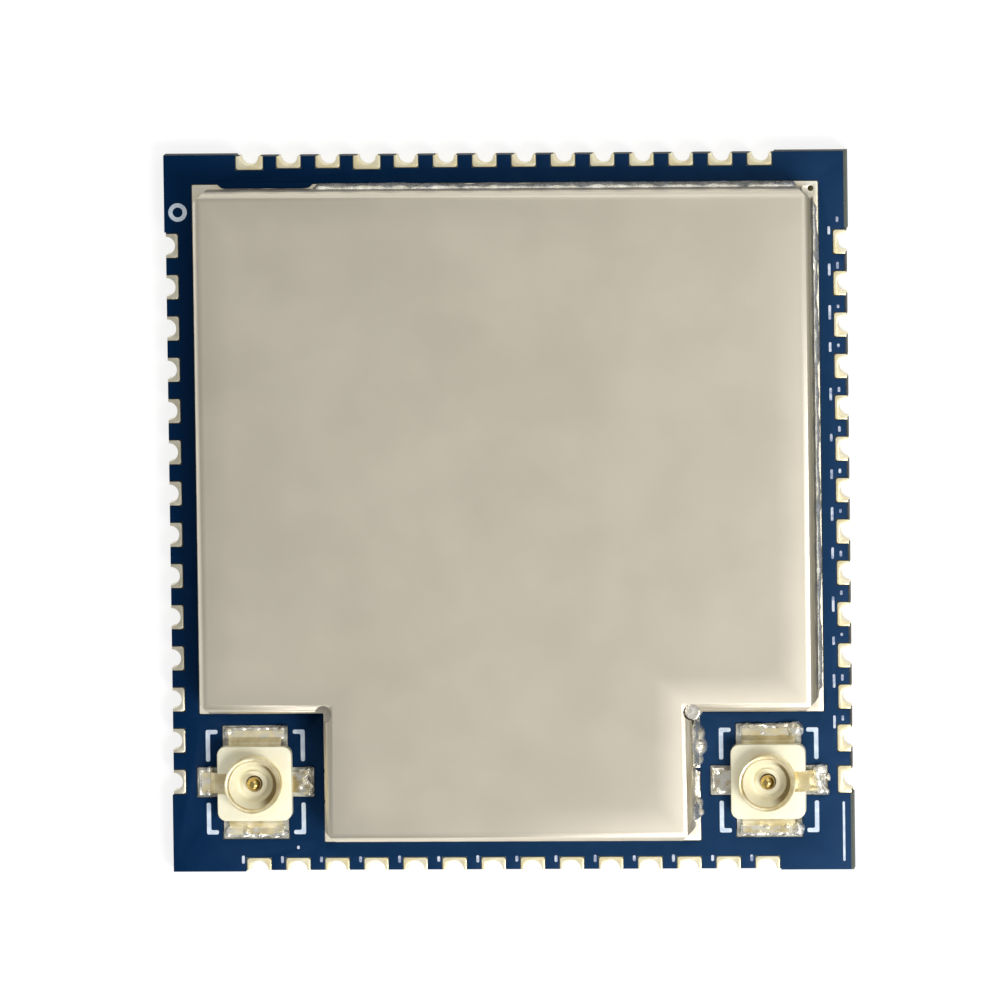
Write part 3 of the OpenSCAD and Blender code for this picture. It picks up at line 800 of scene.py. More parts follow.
@dataclass
class Board:
    """The laminate with its film of solder mask."""

    film: float = 0.02
    right_margin: float = 0.09
    setback: float = 0.05
    opening_gap: float = 0.03
    creep_start: float = 0.75
    creep_stop: float = 4.1
    creep_gap: float = 0.012
    creep_steps: int = 24
    milled_w: float = 18.88
    milled_l: float = 19.868
    overcut: float = 0.5

    def __post_init__(self) -> None:
        """Reads the board's place."""
        self.low, self.high = box_mm("circuit_board")

    def build(self, openings: Workpiece) -> None:
        """Makes the film and dresses the board.

        Args:
            openings: What is open in the mask.
        """
        BoardBody().dress("circuit_board")
        size = self.high - self.low
        film = Workpiece().block((size.x - self.right_margin, size.y, self.film),
                                 (-self.right_margin / 2, 0, self.high.z))
        film.joined(self._milling(), Joining.CUT)
        film.joined(openings, Joining.CUT)
        film.joined(self._creep(), Joining.ADD)
        film.softened(self.film / 3, 1)
        film.deliver("solder_mask", MASK, "solder_mask")

    def _creep(self) -> Workpiece:
        """Mask that has crept over the land beside the can's rear left corner."""
        _, can = box_mm("shield_can")
        _, land = box_mm("shield_land")
        start, stop = -can.x + self.creep_start, -can.x + self.creep_stop
        edge = can.y + self.creep_gap
        outline = [(stop, land.y + 2 * self.opening_gap), (start, land.y + 2 * self.opening_gap)]
        for step in range(self.creep_steps + 1):
            x = start + (stop - start) * step / self.creep_steps
            ends = min(1.0, 6 * min(x - start, stop - x))
            wander = 0.015 * noise.noise(Vector((x * 2.1, 4.0, 0)))
            outline.append((x, land.y - ends * (land.y - edge - wander)))
        creep = Workpiece().prism(outline, land.z + 0.0003, land.z + self.film)
        foot = Workpiece().block((stop - start, 2 * self.opening_gap - 0.004, land.z - self.high.z + 0.002),
                                 ((start + stop) / 2, land.y + self.opening_gap + 0.002, self.high.z))
        return creep.joined(foot, Joining.ADD)

    def _milling(self) -> Workpiece:
        """Cutter for the stretches of the edge that are milled back."""
        reach = self.overcut
        depth = self.setback
        cutter = Workpiece()
        for side, length, edge in (
            (Side.REAR, self.milled_w, self.high.y), (Side.FRONT, self.milled_w, self.high.y),
            (Side.LEFT, self.milled_l, self.high.x),
        ):
            bar = Workpiece().block((length, depth + reach, 2 * reach),
                                    (0, edge - depth + (depth + reach) / 2, self.high.z - reach))
            cutter.stamped(bar, side.turn)
        return cutter


# ---- Castellated pads ----


@dataclass
class PadRow:
    """One edge's castellated pads, each an upper land, a plated half-hole and a lower land."""

    side: Side
    pitch: float
    grounds: tuple[int, ...]
    finish: Finish
    count: int = 14
    width: float = 0.84
    depth: float = 0.42
    under_depth: float = 1.1
    ground_extra: float = 0.1
    hole: float = 0.32
    plating: float = 0.05
    copper: float = 0.035
    corner: float = 0.09
    softness: float = 0.012
    setback: float = 0.05
    mask_gap: float = 0.03

    def __post_init__(self) -> None:
        """Works out the row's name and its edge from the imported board."""
        self.node = f"edge_pads_{self.side.name.lower()}"
        _, high = box_mm("circuit_board")
        self.top = high.z
        half = high.y if self.side in (Side.REAR, Side.FRONT) else high.x
        self.edge = half - self.setback

    def places(self) -> list[tuple[Matrix, bool]]:
        """Place of each pad and whether it is a grounded one."""
        first = -(self.count - 1) / 2
        return [
            (self.side.turn @ Matrix.Translation(((first + i) * self.pitch, self.edge, 0)), i in self.grounds)
            for i in range(self.count)
        ]

    def build(self) -> None:
        """Makes the row."""
        plain, ground = self._pad(False), self._pad(True)
        row = Workpiece()
        for place, grounded in self.places():
            row.stamped(ground if grounded else plain, place)
        row.deliver(self.node, self.finish, "pad_gold", [self.node])

    def add_openings(self, openings: Workpiece) -> None:
        """Adds the mask's openings for this row."""
        for place, grounded in self.places():
            width, depth = self._land(grounded)
            reach = 4 * self.setback
            hole = Workpiece().block((width + 2 * self.mask_gap, depth + self.mask_gap + reach, 1.0),
                                     (0, (reach - depth - self.mask_gap) / 2, self.top - 0.5))
            openings.stamped(hole, place)

    def _land(self, grounded: bool) -> Point:
        """Width and depth of a pad's upper land."""
        extra = self.ground_extra if grounded else 0.0
        return self.width + extra, self.depth + extra / 2

    def _pad(self, grounded: bool) -> Workpiece:
        """One pad at the middle of the rear edge's own frame."""
        width, depth = self._land(grounded)
        round_out = 2 * self.corner
        pad = Workpiece().block((width, depth + round_out, self.copper),
                                (0, (round_out - depth) / 2, self.top), self.corner)
        barrel = Workpiece().cylinder(self.hole + self.plating, (0, 0, self.copper / 2), self.top)
        under = Workpiece().block((width, self.under_depth + round_out, self.copper),
                                  (0, (round_out - self.under_depth) / 2, 0), self.corner)
        pad.joined(barrel, Joining.ADD)
        pad.joined(under, Joining.ADD)
        beyond = Workpiece().block((4 * width, 4 * width, 4 * self.top), (0, 2 * width, -self.top))
        pad.joined(beyond, Joining.CUT)
        drill = Workpiece().cylinder(self.hole, (0, 0, -self.top), 4 * self.top)
        pad.joined(drill, Joining.CUT)
        return pad.softened(self.softness, 2, 50.0)


# ---- Shield can ----


@dataclass(frozen=True)
class Heap:
    """A mound of solder, placed along the board's own axes from the piece that it lies at."""

    x: float
    y: float
    length: float
    width: float
    height: float
    swing: float = 0.0


WALL_LUMPS = (
    Heap(0.02, -0.5, 0.3, 0.5, 0.3), Heap(0.08, -0.9, 0.5, 0.6, 0.36), Heap(0.12, -1.35, 0.62, 0.62, 0.4),
    Heap(0.06, -1.8, 0.4, 0.5, 0.34), Heap(0.05, -3.35, 0.42, 0.44, 0.3), Heap(0.08, -3.68, 0.4, 0.36, 0.28),
)


@dataclass
class SolderRun:
    """Solder along one wall of the can, from start to stop, measured from the wall's first corner."""

    edge: int
    start: float
    stop: float
    width: float
    height: float
    seed: float
    waviness: float = 0.45
    bulge: float = 1.6


@dataclass
class Shield:
    """The folded can, the land that it stands on and the solder round its foot."""

    sheet: float = 0.2
    fold: float = 0.15
    crown: float = 1.0
    crown_drop: float = 0.06
    crown_steps: int = 10
    corner_cut: float = 0.38
    foot_cut: float = 0.15
    relief: float = 0.3
    land_out: float = 0.15
    land_in: float = 0.3
    copper: float = 0.035
    notch_gap: float = 2.57
    break_width: float = 0.13
    feed_length: float = 0.95
    feed_shift: float = 0.16
    via: float = 0.1
    via_inset: float = 0.25
    plug_height: float = 1.45
    fold_steps: int = 8
    softness: float = 0.025
    overcut: float = 0.5
    inner_corners: tuple[int, int] = (3, 6)
    lumps: tuple["Heap", ...] = ()

    def __post_init__(self) -> None:
        """Reads the can's place and the sockets beside it."""
        low, high = box_mm("shield_can")
        ring_low, ring_high = box_mm("right_socket_outer_contact")
        left_low, left_high = box_mm("right_socket_insulator")
        self.half_x, self.rear_y, self.front_y = high.x, high.y, low.y
        self.foot, self.top = low.z, high.z
        socket = (left_low + left_high) / 2
        self.socket_y = (ring_low.y + ring_high.y) / 2
        self.tongue_x = socket.x - self.notch_gap
        self.step_y = self.socket_y + self.notch_gap
        self.outer_fold = self.fold + self.sheet
        self.wall = self.top - self.foot - self.outer_fold

    def plan(self, grow: float) -> list[Point]:
        """Corners of the T-shaped plan, moved outwards and counter-clockwise from the rear right."""
        x, tongue = self.half_x + grow, self.tongue_x + grow
        rear, step, front = self.rear_y + grow, self.step_y - grow, self.front_y - grow
        return [(x, rear), (-x, rear), (-x, step), (-tongue, step),
                (-tongue, front), (tongue, front), (tongue, step), (x, step)]

    def along(self, edge: int) -> tuple[Matrix, float]:
        """A wall's own frame, with x along it and y into the can, and its length."""
        corners = [Vector(point) for point in self.plan(0)]
        start, stop = corners[edge], corners[(edge + 1) % len(corners)]
        run = stop - start
        turn = Matrix.Rotation(math.atan2(run.y, run.x), 4, "Z")
        return Matrix.Translation((start.x, start.y, self.foot)) @ turn, run.length

    def build(self) -> None:
        """Makes the can, its land and its solder."""
        self._can().deliver("shield_can", CAN_SHEET, "can_sheet", ["shield_can"])
        self._land().deliver("shield_land", LAND_GOLD, "land_gold", ["shield_land"])
        self._solder().deliver("shield_solder", SOLDER, "solder", ["shield_solder"], 60.0)
        x, y = self._via_place()
        plug = Workpiece().cylinder(self.via * 1.02, (x, y, 0.0), self.foot - self.copper)
        plug.softened(0.02, 2).deliver("ground_via_fill", VIA_FILL, "solder_mask")

    def add_openings(self, openings: Workpiece, gap: float) -> None:
        """Adds the mask's opening for the can and its land."""
        openings.prism(self.plan(self.land_out + gap), self.foot - self.overcut, self.foot + self.overcut, 0.06)

    def _folded(self, grow: float, low: float, high: float, radius: float) -> Workpiece:
        """A T-shaped block with its upper rim rounded."""
        block = Workpiece().prism(self.plan(grow), low, high)
        rim = [e for e in block.mesh.edges if all(abs(v.co.z - high) < 1e-6 for v in e.verts)]
        bmesh.ops.bevel(block.mesh, geom=rim, offset=radius, offset_type="OFFSET",
                        segments=self.fold_steps, profile=0.5, affect="EDGES", material=-1)
        top = [f for f in block.mesh.faces if all(abs(v.co.z - high) < 1e-6 for v in f.verts)]
        for _ in range(self.crown_steps):
            bmesh.ops.inset_region(block.mesh, faces=top, thickness=self.crown / self.crown_steps,
                                   use_even_offset=True)
        for vert in block.mesh.verts:
            if vert.co.z > (low + high) / 2:
                flat = (self._depth(vert.co) + grow - radius) / self.crown
                vert.co.z -= self.crown_drop * (1 - min(1.0, max(0.0, flat))) ** 2
        return block

    def _depth(self, place: Vector) -> float:
        """How far inside the plan a place lies."""
        body = min(self.half_x - abs(place.x), self.rear_y - place.y, place.y - self.step_y)
        tongue = min(self.tongue_x - abs(place.x), place.y - self.front_y)
        return max(body, tongue)

    def _can(self) -> Workpiece:
        """The folded sheet."""
        can = self._folded(0, self.foot, self.top, self.outer_fold)
        cavity = self._folded(-self.sheet, self.foot - self.overcut, self.top - self.sheet, self.fold)
        can.joined(cavity, Joining.CUT)
        for index in range(len(self.plan(0))):
            if index in self.inner_corners:
                x, y = self.plan(0)[index]
                hole = Workpiece().cylinder(self.relief, (x, y, self.foot - self.overcut),
                                            self.top - self.foot + 2 * self.overcut)
                can.joined(hole, Joining.CUT)
            else:
                can.joined(self._corner_cutter(index), Joining.CUT)
            can.joined(self._end_cutter(index, index, False), Joining.CUT)
            can.joined(self._end_cutter(index - 1, index, True), Joining.CUT)
        return can.softened(self.softness, 2, 50.0)

    def _corner_cutter(self, corner: int) -> Workpiece:
        """Cuts an outer corner at 45 degrees through the whole height."""
        over = self.overcut
        outline = [(-over, -over), (self.corner_cut + over, -over), (-over, self.corner_cut + over)]
        place, _ = self.along(corner)
        return Workpiece().prism(outline, -over, self.top - self.foot + over).moved(place)

    def _end_cutter(self, edge: int, corner: int, far: bool) -> Workpiece:
        """Ends a wall below its fold: tapered at an outer corner, mitred at an inner one.

        Args:
            edge: Which wall.
            corner: Which corner of the plan.
            far: Whether the corner is the wall's far end.

        Returns:
            The cutter.
        """
        over = self.overcut
        place, length = self.along(edge % len(self.plan(0)))
        if corner in self.inner_corners:
            foot = self.relief + self.wall
            outline = [(-self.relief, -over), (foot + over, -over), (self.relief, self.wall),
                       (-self.relief, self.wall)]
        else:
            foot = self.corner_cut + self.foot_cut
            outline = [(-over, -over), (foot + over, -over), (self.corner_cut, self.foot_cut),
                       (self.corner_cut, self.wall), (-over, self.wall)]
        upright = Matrix.Rotation(math.pi / 2, 4, "X")
        cutter = Workpiece().prism(outline, -self.sheet * 1.05, over).moved(upright)
        if far:
            cutter.moved(Matrix.Translation((length, 0, 0)) @ Matrix.Scale(-1, 4, (1, 0, 0)))
        return cutter.moved(place)

    def _land(self) -> Workpiece:
        """The gold strip round the can's foot."""
        low = self.foot - self.copper
        land = Workpiece().prism(self.plan(self.land_out), low, self.foot, 0.05)
        inner = Workpiece().prism(self.plan(-self.sheet - self.land_in), low - 1, self.foot + 1)
        land.joined(inner, Joining.CUT)
        reach = 2 * (self.land_out + self.sheet + self.land_in)
        feed_y = self.socket_y - self.feed_shift
        for x in (-self.tongue_x, self.tongue_x):
            for way in (-1, 1):
                y = feed_y + way * (self.feed_length + self.break_width) / 2
                gap = Workpiece().block((reach, self.break_width, 2), (x, y, low - 1))
                land.joined(gap, Joining.CUT)
        land.joined(Workpiece().cylinder(self.via, (*self._via_place(), low - 1), 2), Joining.CUT)
        return land.softened(0.01, 2, 50.0)

    def _via_place(self) -> Point:
        """Centre of the ground via in the land's rear right corner."""
        inset = self.land_out - self.via_inset
        return self.half_x + inset, self.rear_y + inset

    def _runs(self) -> list[SolderRun]:
        """The solder along each wall, from what the land carries."""
        rear = 2 * self.half_x
        side = self.rear_y - self.step_y
        shoulder = self.half_x - self.tongue_x
        tongue = self.step_y - self.front_y
        front = 2 * self.tongue_x
        clear = self.corner_cut + self.foot_cut
        return [
            SolderRun(0, clear, rear - 4.1, 0.17, 0.30, 1.3, waviness=0.25),
            SolderRun(1, clear, side - clear, 0.12, 0.26, 3.7),
            SolderRun(2, clear, shoulder - 2.0, 0.12, 0.22, 4.4),
            SolderRun(3, 2.0, tongue - clear, 0.1, 0.2, 5.2),
            SolderRun(4, clear, front - clear, 0.13, 0.28, 6.9),
            SolderRun(5, clear, 1.3, 0.15, 1.3, 7.1, waviness=0.15, bulge=1.2),
            SolderRun(5, 1.42, 2.34, 0.15, 0.07, 7.6, waviness=0.1, bulge=1.0),
            SolderRun(5, 2.46, tongue - 0.34, 0.17, 1.35, 8.0, waviness=0.12, bulge=1.2),
            SolderRun(6, 2.0, shoulder - clear, 0.12, 0.26, 8.2),
            SolderRun(7, clear, side - clear, 0.13, 0.28, 9.4, waviness=0.4),
        ]

    def _solder(self) -> Workpiece:
        """Wavy fillets at the can's foot."""
        solder = Workpiece()
        for run in self._runs():
            place, _ = self.along(run.edge)
            solder.stamped(solder_bead(run), place)
        lumps = Workpiece()
        for lump in self.lumps:
            size = (lump.length / 2, lump.width / 2, lump.height)
            lumps.ball((self.tongue_x + lump.x, self.step_y + lump.y, self.foot), size)
        lumps.cylinder(self.relief - 0.01, (self.tongue_x, self.step_y, self.foot), self.plug_height)
        lumps.fused(0.03, 4).swollen(0.05, 0.3, 2.0).trimmed(self.foot)
        wall = Workpiece().block((2, 8, 4), (self.tongue_x - 1, self.step_y - self.relief - 4, 0))
        return solder.stamped(lumps.joined(wall, Joining.CUT), Matrix.Identity(4))


def solder_bead(run: SolderRun) -> Workpiece:
    """A fillet whose width, height and bulge wander along its length.

    Args:
        run: Where it starts and stops and how big it is.

    Returns:
        The fillet in its wall's own frame, outside the wall.
    """
    sides, step = 9, 0.06
    length = run.stop - run.start
    cuts = int(length / step)
    bead = Workpiece()
    bmesh.ops.create_cone(bead.mesh, cap_ends=True, segments=sides, radius1=1, radius2=1, depth=1)
    lengthwise = [e for e in bead.mesh.edges if abs(e.verts[0].co.z - e.verts[1].co.z) > 0.5]
    bmesh.ops.subdivide_edges(bead.mesh, edges=lengthwise, cuts=cuts, use_grid_fill=True)
    for vert in bead.mesh.verts:
        share = vert.co.z + 0.5
        along = run.start + share * length
        wander = noise.noise(Vector((along * 1.1, run.seed, 0))) + 0.5 * noise.noise(
            Vector((along * 3.7, run.seed, 9)))
        ends = min(1.0, 0.25 + 4 * min(share, 1 - share) * length)
        size = (1 + run.waviness * wander) * ends
        bulge = run.bulge + 0.7 * noise.noise(Vector((along * 2.3, run.seed, 5)))
        index = round(math.atan2(vert.co.y, vert.co.x) / (math.tau / sides)) % sides
        if index == 0:
            out, up = 0.0, 0.0
        else:
            angle = math.pi / 2 * (index - 1) / (sides - 2)
            out, up = math.cos(angle) ** bulge, math.sin(angle) ** bulge
        vert.co = (along, -out * run.width * size, up * run.height * size)
    bmesh.ops.recalc_face_normals(bead.mesh, faces=bead.mesh.faces)
    return bead


# ---- Antenna sockets ----


LEFT_HEAPS = (
    Heap(0.95, 1.88, 0.4, 0.2, 0.22, 25), Heap(-0.95, 1.75, 0.3, 0.34, 0.12),
    Heap(-0.32, -1.76, 0.28, 0.24, 0.22), Heap(0.12, -1.84, 0.26, 0.2, 0.2, 30),
    Heap(0.92, -1.78, 0.46, 0.28, 0.26), Heap(-0.9, -1.74, 0.4, 0.34, 0.12),
    Heap(-1.62, 0.44, 0.26, 0.24, 0.26, 30), Heap(-1.64, -0.38, 0.3, 0.26, 0.26, -25),
    Heap(1.9, 0.42, 0.26, 0.34, 0.3, -30), Heap(1.9, -0.38, 0.32, 0.26, 0.28, 10),
    Heap(1.8, 0.08, 0.36, 0.4, 0.24), Heap(2.0, -0.1, 0.18, 0.24, 0.22), Heap(1.62, -0.16, 0.26, 0.26, 0.2),
)
RIGHT_HEAPS = (
    Heap(0.95, 1.78, 0.6, 0.6, 0.3), Heap(0.5, 1.94, 0.7, 0.18, 0.18), Heap(-0.5, 1.94, 0.9, 0.16, 0.16),
    Heap(1.02, -1.7, 0.42, 0.56, 0.3), Heap(0.35, -1.86, 0.6, 0.24, 0.22), Heap(-0.45, -1.86, 0.9, 0.22, 0.2),
    Heap(-0.1, -1.66, 0.36, 0.2, 0.18), Heap(0.62, -1.62, 0.26, 0.26, 0.18, 40),
    Heap(1.8, 0.36, 0.56, 0.4, 0.3, 10), Heap(1.8, -0.32, 0.56, 0.4, 0.3, -10),
    Heap(1.74, 0.02, 0.44, 0.6, 0.28), Heap(2.06, -0.4, 0.16, 0.24, 0.16), Heap(2.1, 0.1, 0.14, 0.3, 0.14),
    Heap(-1.82, 0.34, 0.36, 0.3, 0.14), Heap(-1.8, -0.34, 0.34, 0.3, 0.15),
)


@dataclass
class Socket:
    """A miniature coaxial socket. Its own +X points to the narrow ground tab."""

    name: str
    turn: float
    heaps: tuple["Heap", ...]
    insulator: float = 2.62
    insulator_corner: float = 0.3
    insulator_height: float = 0.6
    floor: float = 0.42
    collar: float = 0.1
    collar_wall: float = 0.2
    ring: float = 1.0
    ring_wall: float = 0.16
    ring_height: float = 1.25
    root: float = 0.06
    groove: float = 0.05
    groove_height: float = 0.25
    lip: float = 0.2
    mouth: float = 0.05
    bowl_foot: float = 0.52
    bowl_drop: float = 0.12
    moat: float = 0.04
    moat_depth: float = 0.2
    pin: float = 0.25
    pin_height: float = 1.0
    strip: float = 0.12
    strip_z: float = 0.17
    wide_tab: float = 1.85
    narrow_tab: float = 0.72
    wide_reach: float = 1.84
    narrow_reach: float = 1.9
    wide_land: float = 2.3
    narrow_land: float = 1.04
    land_margin: float = 0.16
    land_under: float = 0.3
    copper: float = 0.035
    softness: float = 0.03
    pool: float = 0.09

    def __post_init__(self) -> None:
        """Reads the socket's place from its insulator."""
        low, high = box_mm(f"{self.name}_insulator")
        middle = (low + high) / 2
        self.place = Matrix.Translation((middle.x, middle.y, low.z)) @ Matrix.Rotation(
            math.radians(self.turn), 4, "Z")

    def build(self) -> None:
        """Makes the socket's five pieces."""
        self._finish(self._lands(), "lands", TINNED_LAND, "land_gold")
        self._finish(self._insulator(), "insulator", IVORY, "insulator_ivory")
        self._finish(self._outer_contact(), "outer_contact", CONTACT_GOLD, "contact_gold")
        self._finish(self._centre_contact(), "centre_contact", PIN_GOLD, "contact_gold")
        self._finish(self._solder(), "solder", SOLDER, "solder")

    def add_openings(self, openings: Workpiece, gap: float) -> None:
        """Adds the mask's openings for the lands."""
        for size, low in self._land_blocks(gap):
            openings.stamped(Workpiece().block((size[0], size[1], 1.0), (low[0], low[1], -0.5)), self.place)

    def _finish(self, piece: Workpiece, part: str, finish: Finish, slot: str) -> None:
        """Places a piece and delivers it in place of its CAD node."""
        node = f"{self.name}_{part}"
        piece.moved(self.place).deliver(node, finish, slot, [node])

    def _sides(self) -> list[tuple[float, float, float, float]]:
        """Angle, reach, tab width and land width of the front, rear, outer and inner sides."""
        wide = (self.wide_reach, self.wide_tab, self.wide_land)
        narrow = (self.narrow_reach, self.narrow_tab, self.narrow_land)
        return [(90, *wide), (270, *wide), (0, *narrow), (180, *narrow)]

    def _land_blocks(self, gap: float) -> list[tuple[Point, Point]]:
        """Size and centre of each land, grown by a gap."""
        blocks = []
        for angle, reach, _, width in self._sides():
            inner = self.insulator / 2 - self.land_under
            outer = reach + self.land_margin + gap
            size = (outer - inner, width + 2 * gap)
            middle = (inner + outer) / 2
            if angle in (90, 270):
                size = (size[1], size[0])
            way = math.radians(angle)
            blocks.append((size, (middle * math.cos(way), middle * math.sin(way))))
        return blocks

    def _lands(self) -> Workpiece:
        """The four lands under the tabs."""
        lands = Workpiece()
        for size, low in self._land_blocks(0.0):
            lands.block((size[0], size[1], self.copper), (low[0], low[1], -self.copper), 0.06)
        return lands.softened(0.01, 1, 50.0)

    def _wall_section(self) -> list[Point]:
        """Section of the outer contact's round wall."""
        steps = 8
        inner = self.ring - self.ring_wall
        groove_z = self.ring_height - self.lip - self.groove_height / 2
        groove = []
        for step in range(steps + 1):
            angle = math.pi * step / steps
            groove.append((self.ring - self.groove * math.sin(angle),
                           groove_z - self.groove_height / 2 * math.cos(angle)))
        return [
            (inner, self.strip_z), (self.ring + self.root, self.strip_z), (self.ring, self.insulator_height),
            *groove,
            (self.ring, self.ring_height - self.mouth / 2), (self.ring - self.mouth / 2, self.ring_height),
            (inner + self.mouth * 2, self.ring_height), (inner + self.mouth, self.ring_height - self.mouth / 2),
            (inner, self.ring_height - self.mouth * 2),
        ]

    def _tab(self, reach: float, width: float) -> Workpiece:
        """A strip that leaves the contact, clears the insulator and steps down to its land."""
        knee = self.insulator / 2 + self.strip / 2
        foot = knee + self.strip_z
        start = self.ring - self.ring_wall / 2
        outline = [
            (start, self.strip_z), (knee, self.strip_z), (foot, 0), (reach, 0), (reach, self.strip),
            (foot + self.strip / 2, self.strip), (knee + self.strip / 2, self.strip_z + self.strip),
            (start, self.strip_z + self.strip),
        ]
        return Workpiece().prism(outline, -width / 2, width / 2).moved(Matrix.Rotation(math.pi / 2, 4, "X"))

    def _tabs(self) -> list[Workpiece]:
        """The outer contact's three tabs."""
        turned = [(90, self.wide_reach, self.wide_tab), (270, self.wide_reach, self.wide_tab),
                  (0, self.narrow_reach, self.narrow_tab)]
        return [self._tab(reach, width).moved(Matrix.Rotation(math.radians(angle), 4, "Z"))
                for angle, reach, width in turned]

    def _outer_contact(self) -> Workpiece:
        """The round contact with its latch groove and tabs."""
        contact = Workpiece().spun(self._wall_section())
        for tab in self._tabs():
            core = Workpiece().cylinder(self.ring - self.ring_wall / 2, (0, 0, -1), 3)
            contact.joined(tab.joined(core, Joining.CUT), Joining.ADD)
        return contact.softened(0.02, 2, 50.0)

    def _centre_contact(self) -> Workpiece:
        """A domed pin on a flat tail."""
        steps = 10
        dome = [(self.pin * math.cos(math.pi / 2 * k / steps),
                 self.pin_height - self.pin + self.pin * math.sin(math.pi / 2 * k / steps))
                for k in range(steps)]
        section = [(0.0, 0.0), (self.pin, 0.0), *dome, (0.0, self.pin_height)]
        pin = Workpiece().spun(section)
        tail = Workpiece().block((self.narrow_reach, self.narrow_tab, self.strip),
                                 (-self.narrow_reach / 2, 0, 0))
        return pin.joined(tail, Joining.ADD).softened(0.015, 2, 50.0)

    def _insulator(self) -> Workpiece:
        """The moulded block with its well, collar and the seats of both contacts."""
        block = Workpiece().block((self.insulator, self.insulator, self.insulator_height), (0, 0, 0),
                                  self.insulator_corner)
        block.softened(self.softness, 3, 50.0)
        inner = self.ring - self.ring_wall
        well = Workpiece().cylinder(inner, (0, 0, self.floor), 1)
        boss = Workpiece().cylinder(self.pin + self.collar_wall, (0, 0, 0), self.floor + self.collar)
        block.joined(well.joined(boss, Joining.CUT), Joining.CUT)
        block.joined(self._bowl(), Joining.ADD)
        block.joined(Workpiece().spun(self._wall_section()), Joining.CUT)
        for tab in self._tabs():
            block.joined(tab, Joining.CUT)
        window = Workpiece().block((self.insulator, self.narrow_tab, 1),
                                   (self.ring - self.ring_wall / 2 + self.insulator / 2, 0, self.strip_z))
        block.joined(window, Joining.CUT)
        block.joined(Workpiece().cylinder(self.pin + self.moat, (0, 0, self.floor - self.moat_depth), 1),
                     Joining.CUT)
        bore = Workpiece().cylinder(self.pin, (0, 0, -1), 3)
        tail = Workpiece().block((self.narrow_reach, self.narrow_tab, self.strip + 1),
                                 (-self.narrow_reach / 2, 0, -1))
        block.joined(bore, Joining.CUT)
        block.joined(tail, Joining.CUT)
        return block

    def _bowl(self) -> Workpiece:
        """The moulding's steep inner wall, which leans against the round contact."""
        outer = self.ring - self.ring_wall + 0.02
        low, high = self.floor - 0.02, self.ring_height - self.bowl_drop
        section = [(outer, low), (self.bowl_foot, low), (self.bowl_foot, self.floor)]
        for share, rise in ((0.15, 0.01), (0.27, 0.06), (0.36, 0.15), (0.44, 0.27)):
            section.append((self.bowl_foot + share * (outer - self.bowl_foot),
                            self.floor + rise * (high - self.floor)))
        return Workpiece().spun([*section, (outer - 0.03, high), (outer, high)])

    def _solder(self) -> Workpiece:
        """Solder round each tab's foot, heaped unevenly."""
        pool = Workpiece()
        foot = self.insulator / 2 + self.strip / 2 + self.strip_z
        for angle, reach, tab, land in self._sides():
            edge = reach + self.land_margin * 0.6
            side = Workpiece().block((edge - foot, min(land, tab + 0.2), self.pool),
                                     ((edge + foot) / 2, 0, 0.0), 0.04)
            pool.stamped(side, Matrix.Rotation(math.radians(angle), 4, "Z"))
        unturned = Matrix.Rotation(math.radians(-self.turn), 4, "Z")
        for heap in self.heaps:
            mound = Workpiece().ball((0, 0, 0), (heap.length / 2, heap.width / 2, heap.height))
            swing = Matrix.Rotation(math.radians(heap.swing), 4, "Z")
            pool.stamped(mound, unturned @ Matrix.Translation((heap.x, heap.y, 0.02)) @ swing)
        return pool.fused(0.022, 3).swollen(0.05, 0.22, self.turn + 3).trimmed(0.0)


# ---- Legend ----


